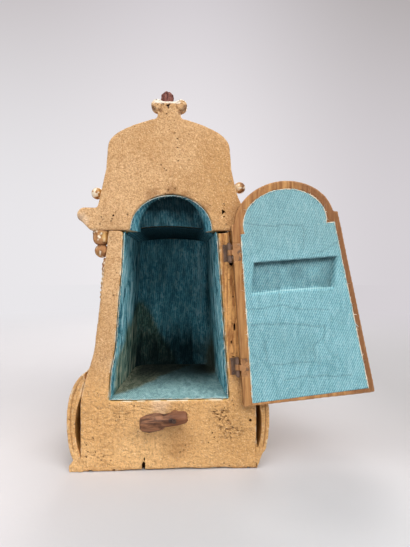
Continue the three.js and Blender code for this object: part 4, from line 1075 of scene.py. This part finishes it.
def door_sheet(u, v):
    z = CLOTH_FOOT_Z + v * (CLOTH_HEAD_Z - CLOTH_FOOT_Z)
    left, right = door_edges(z)
    x = left + u * (right - left)
    across = (x - RECESS_X + RECESS_LEAN * (z - RECESS_Z)) / (1 + RECESS_LEAN * RECESS_SLOPE)
    up = z - RECESS_Z - RECESS_SLOPE * across
    dip = step(across, RECESS_HALF_WIDTH, RECESS_HALF_WIDTH - 4.0)
    dip *= step(-across, RECESS_HALF_WIDTH, RECESS_HALF_WIDTH - 4.0)
    ledge = 2.2 + 2.6 * ridge(across, RECESS_HALF_WIDTH)
    dip *= step((up + RECESS_HALF_HEIGHT - 0.2) / ledge, 0, 1)
    dip *= step(up, RECESS_HALF_HEIGHT, RECESS_HALF_HEIGHT - 0.7)
    flat = rows(x, DOOR_INNER_Y - 0.5, z)
    flat[:, 1] += 0.15 * puckers(flat, 22, 51) - (RECESS_DEPTH - 0.3) * dip
    seam = ridge(x + 6 + 2 * field(flat * (0, 0, 1), 30, 52), 1.6)
    flat[:, 1] += 0.2 * seam * step(z, 212, 205) * step(z, 182, 188)
    flat[:, 0] += np.where((u == 0) | (u == 1), 0.3 * field(flat, 4, 54), 0)
    return swung(sloped(flat))


DOOR_CREASES = [
    [(72, 128), (104, 129), (137, 127), (136, 118), (126, 109), (126, 96), (89, 92)],
    [(67, 215), (92, 213.5), (117, 214.5)], [(116.5, 214), (115.5, 203), (116.5, 193)],
    [(148, 200), (134, 193), (122, 187)], [(84, 114), (84, 96)], [(70, 141), (96, 143), (140, 141)],
    [(100, 80), (132, 84), (160, 84)], [(96, 160), (98, 148)],
]


def crease_distance(p, crease):
    """Distance of points from a line drawn on the open door as it stands."""
    x, z = p[:, 0] + 1.8 * field(p, 9, 58), p[:, 2] + 1.8 * field(p, 9, 59)
    nearest = np.full(len(p), 1e3)
    for (x0, z0), (x1, z1) in zip(crease, crease[1:]):
        dx, dz = x1 - x0, z1 - z0
        share = np.clip(((x - x0) * dx + (z - z0) * dz) / math.hypot(dx, dz) ** 2, 0, 1)
        nearest = np.minimum(nearest, np.hypot(x - x0 - share * dx, z - z0 - share * dz))
    return nearest


def door_shade_and_stain(p):
    """Painted shade in the creases and in the recess, thickest under its upper edge, with a stain and random
    tone; a painted highlight on the recess's ledge.
    """
    x, y, z = swung(p).T
    level = z - RECESS_SLOPE * x
    deep = step(y, DOOR_INNER_Y - 1.2, DOOR_INNER_Y - 4.0)
    under = step(level, RECESS_Z + 8, RECESS_Z + RECESS_HALF_HEIGHT)
    ends = step(np.abs(x - RECESS_X), 16, 34)
    # Painted highlight on the ledge at the foot of the recess.
    ledge_highlight = 4 * deep * (1 - deep) * step(level, RECESS_Z, RECESS_Z - 8)
    # Painted shade along the creases.
    creased = np.minimum.reduce([crease_distance(p, crease) for crease in DOOR_CREASES])
    stain = step(p[:, 2] + 5 * field(p, 12, 56), 133, 127) * step(p[:, 2] + 5 * field(p, 12, 57), 88, 94)
    stain *= step(p[:, 0] + 4 * field(p, 12, 55), 134, 128)
    # The recess's painted shade: most under its upper edge and towards its ends, with random tone.
    worn = 0.27 + 0.5 * under + 0.1 * ends + 0.14 * field(p, 16, 53) + 0.16 * field(p, 5, 60)
    return deep * worn - 0.6 * ledge_highlight + 0.2 * step(creased, 1.4, 0.2) + 0.07 * stain


sheet("door_cloth", grid(300, 130, door_sheet), DOOR_CLOTH,
      "door_lining", door_shade_and_stain, "door")


# Gesso drawn over the foot of the joint between the base and each side panel.
JOINT_FILLS = ("left", -BASE_HALF, 2.4, 0.0, 0.2, 12.0), ("right", BASE_HALF, 1.8, 0.08, 4.6, 18.2)
for side, x, half, lean, foot, top in JOINT_FILLS:
    def filled(u, v):
        across = 2 * u - 1
        z = foot + v * (top + 7 * across ** 2 - foot)
        flat = rows(x + lean * (z - foot) + half * across, 0.8 * across ** 2 - 0.5, z)
        return flat + 0.25 * np.outer(field(flat, 3, 85), (1, 1, 0))

    fill = piece("joint_fill_" + side, *grid(24, 10, filled), "body", "ochre_paint", OCHRE)
    fill.modifiers.new("thickness", "SOLIDIFY").thickness = 0.5 * MM


# Frayed edges: a ragged cord of loose weft along an edge, with short hairs that stray from it.
def unit(vectors):
    return vectors / (np.linalg.norm(vectors, axis=-1, keepdims=True) + 1e-9)


def tubes(lines, radii, sides):
    """Closed tubes along lines of equal length; radii are given per point."""
    points, faces = [], []
    turn = np.linspace(0, TURN, sides, endpoint=False)
    for line, radius in zip(lines, radii):
        along = unit(np.gradient(line, axis=0))
        across = unit(np.cross(along, (0.3, 0.8, 0.5)))
        up = np.cross(along, across)
        base, count = len(points), len(line)
        for i in range(count):
            points += [line[i] + radius[i] * (math.cos(a) * across[i] + math.sin(a) * up[i]) for a in turn]
        for i in range(count - 1):
            faces += between_rings(base + i * sides, sides)
        last = len(points) - sides
        faces += [tuple(range(base + sides - 1, base - 1, -1)), tuple(range(last, last + sides))]
    return points, faces


def fray(name, edge, hairs, seed, out, body="body", cord=0.3, length=2.2, front=0.6):
    """Fray along an edge line; out is the way the cloth faces, front the least y that threads reach."""
    rng = np.random.default_rng(seed)
    out = np.asarray(out)
    thick = cord * (0.65 + 0.5 * field(edge, 6, seed) + 0.4 * field(edge, 1.7, seed + 1)).clip(0.2, 2)
    points, faces = tubes([edge + out * 0.1], [thick], 5)
    lines = []
    for _ in range(hairs):
        i = rng.integers(1, len(edge) - 1)
        way = unit(edge[i + 1] - edge[i - 1]) * rng.choice([-1, 1])
        way = unit(way + 0.55 * rng.normal(size=3) * (1 - 0.6 * np.abs(out)) + 0.1 * out)
        bend = 0.25 * rng.normal(size=3) * (1 - 0.7 * np.abs(out))
        share = np.linspace(0, 1, 5)[:, None]
        reach = length * rng.uniform(0.4, 1.2)
        lines.append(edge[i] + out * 0.2 + way * reach * share + bend * reach * share ** 2)
    thickness = np.where(rng.random(hairs) < 0.12, 0.36, 0.13)
    hair_points, hair_faces = tubes(lines, [np.linspace(t, 0.4 * t, 5) for t in thickness], 3)
    faces += [tuple(len(points) + k for k in face) for face in hair_faces]
    threads = np.array(points + hair_points)
    threads[:, 1] = np.maximum(threads[:, 1], front)
    piece(name, threads, faces, body, "cloth", FRAY)


def door_rim():
    """Edge of the door cloth from its foot at the free side, over the arch, to its foot at the hinge."""
    low = np.arange(CLOTH_FOOT_Z, BODY_TOP - CLOTH_SHOULDER, 1.3)
    left, right = door_edges(low)
    turn = np.linspace(math.pi + 0.18, -0.18, 90)
    arch = rows(ARCH_SHIFT + NICHE_HALF * np.cos(turn), BODY_TOP + (CLOTH_HEAD_Z - BODY_TOP) * np.sin(turn))
    rim = np.concatenate([rows(left, low), arch, rows(right, low)[::-1]])
    return swung(sloped(rows(rim[:, 0], DOOR_INNER_Y - 0.35, rim[:, 1])))


fray("door_fray", door_rim(), 420, 61, (0, -1, 0), "door", 0.55, 2.6, -8.4)
mouth = np.arange(FLOOR_Z + 2, BODY_TOP - 2, 1.4)
for hand, side in SIDES:
    inward = 0.9 + (left_lip(mouth) if side < 0 else 0)
    line = rows(side * (chamber_half(mouth, 0.6) - inward), 0.9, mouth)
    fray(f"{hand}_mouth_fray", line, 160, 63 + side, (-side, 0, 0))
sill = np.arange(-50.5, 50.6, 1.3)
fray("sill_fray", rows(sill, 1.0, FLOOR_Z + 1.0), 110, 67, (0, 0, 1))
arch_turn = np.linspace(math.pi - 0.03, 0.03, 90)
arch_line = rows(ARCH_SHIFT + (NICHE_HALF - 1.0) * np.cos(arch_turn), 0.9,
                 BODY_TOP + 0.4 + (NICHE_RISE - 1.1) * np.sin(arch_turn))
fray("arch_fray", arch_line, 110, 69, (0, -0.4, -0.3))

# Hinges, nails and dowels keep their CAD shape.
for name, node in nodes.items():
    if node.hide_render:
        continue
    material = HINGE_IRON
    if name == "button_nail":
        material = IRON
    elif "dowel" in name:
        material = WOOD
    elif "door_leaf" in name or "door_nail" in name:
        material = PAINTED_IRON
    node.data.materials.clear()
    node.data.materials.append(material)
    worn_edges(node, 0.15).limit_method = "ANGLE"


# Soft studio light, and a pale floor that fades into a backdrop with tones from left to right.
NEAR = "e9e7ea", "f0ecef", "d6d1d5"
TOP = "c2bcbe", "d4cfd3", "aaa4a4"


def stage_floor():
    f = Finish("pale_floor", 0.1)
    across = f.along(1, 0, 0)
    left, right = f.band(across, 0.0, -0.22), f.band(across, 0.14, 0.34)
    # Tones darker to the right and to the rear: partly the backdrop's own tone, and partly painted shadow of
    # the case and door.
    front = f.mix(right, f.mix(left, "d2d1d4", "ede9ed"), "cfccce")
    rear = f.mix(right, f.mix(left, "cbc9cc", "d5d2d5"), "afadaf")
    f.colour = f.mix(f.band(f.along(0, 1, 0), -0.17, -0.02), front, rear)
    # Painted shadow: a darker patch on the floor to the right of the base, in front of it.
    f.lay(f.spot(127, -32, 0, 84, 70), "b4b3b6")
    f.lay(f.noise(6), "b2afb0", 0.2)
    f.done(0.9, f.noise(300, 2), 0.0001)
    graded = f.mix(f.band(across, -0.5, 0.9), NEAR[0], NEAR[2])
    glow = f.add("ShaderNodeEmission", {"Color": graded}).outputs[0]
    fade = f.times(f.band(f.measured("DISTANCE", (0, 0, 0)), 0.35, 1.6), f.shown())
    both = f.add("ShaderNodeMixShader", {0: fade, 1: f.shader.outputs[0], 2: glow})
    f.feed(f.tree.nodes["Material Output"].inputs["Surface"], both.outputs[0])
    return f.material


STAGE_RADIUS, STAGE_Z = 6.0, -0.0003
mesh = bpy.data.meshes.new("studio_floor")
ring = np.linspace(0, TURN, 64, endpoint=False)
ring = rows(STAGE_RADIUS * np.cos(ring), STAGE_RADIUS * np.sin(ring), STAGE_Z)
mesh.from_pydata(ring.tolist(), [], [list(range(len(ring)))])
mesh.materials.append(stage_floor())
linked("studio_floor", mesh)

world = bpy.data.worlds.new("studio")
scene.world = world
world.use_nodes = True
sky = Nodes(world.node_tree)
ambient = sky.tree.nodes["Background"]
sky.feed(ambient.inputs["Color"], "ececf0")
sky.feed(ambient.inputs["Strength"], 0.17)
look = sky.add("ShaderNodeTexCoord").outputs["Generated"]
sideways, _, upwards = sky.add("ShaderNodeSeparateXYZ", {0: look}).outputs


def backdrop(left, middle, right):
    near = sky.mix(sky.band(sideways, -0.42, 0.0), left, middle)
    return sky.mix(sky.band(sideways, 0.0, 0.5), near, right)


rise = sky.math("POWER", sky.band(upwards, 0.0, 0.56, curve="LINEAR"), 2.5)
graded = sky.mix(rise, backdrop(*NEAR), backdrop(*TOP))
seen = sky.add("ShaderNodeBackground", {"Color": graded, "Strength": 1.0})
either = sky.add("ShaderNodeMixShader", {0: sky.shown(), 1: ambient.outputs[0], 2: seen.outputs[0]})
sky.feed(sky.tree.nodes["World Output"].inputs["Surface"], either.outputs[0])


def softbox(name, place, aim, size, watts):
    light = bpy.data.lights.new(name, "AREA")
    light.shape = "RECTANGLE"
    light.size, light.size_y = size
    light.energy = watts
    light.color = (1.0, 0.985, 0.96)
    obj = linked(name, light)
    obj.location = place
    obj.rotation_euler = (Vector(aim) - Vector(place)).to_track_quat("-Z", "Y").to_euler()


softbox("key_softbox", (-0.5, -1.8, 3.1), (0, -0.05, 0.15), (3.6, 3.2), 112)
softbox("front_softbox", (1.6, -2.2, 2.2), (0, 0, 0.15), (2.2, 1.6), 64)
softbox("rear_softbox", (0.3, 1.5, 1.2), (0, 0, 0.15), (1.4, 1.0), 22)

camera = bpy.data.cameras.new("photo_camera")
camera.lens = 26.33
camera.sensor_width = 36.0
camera.clip_start = 0.01
view = linked("photo_camera", camera)
view.location = (0.0148, -0.427, 0.172)
view.rotation_euler = (math.radians(90), 0, math.radians(-2.7))
scene.camera = view
scene.view_settings.view_transform = "Standard"
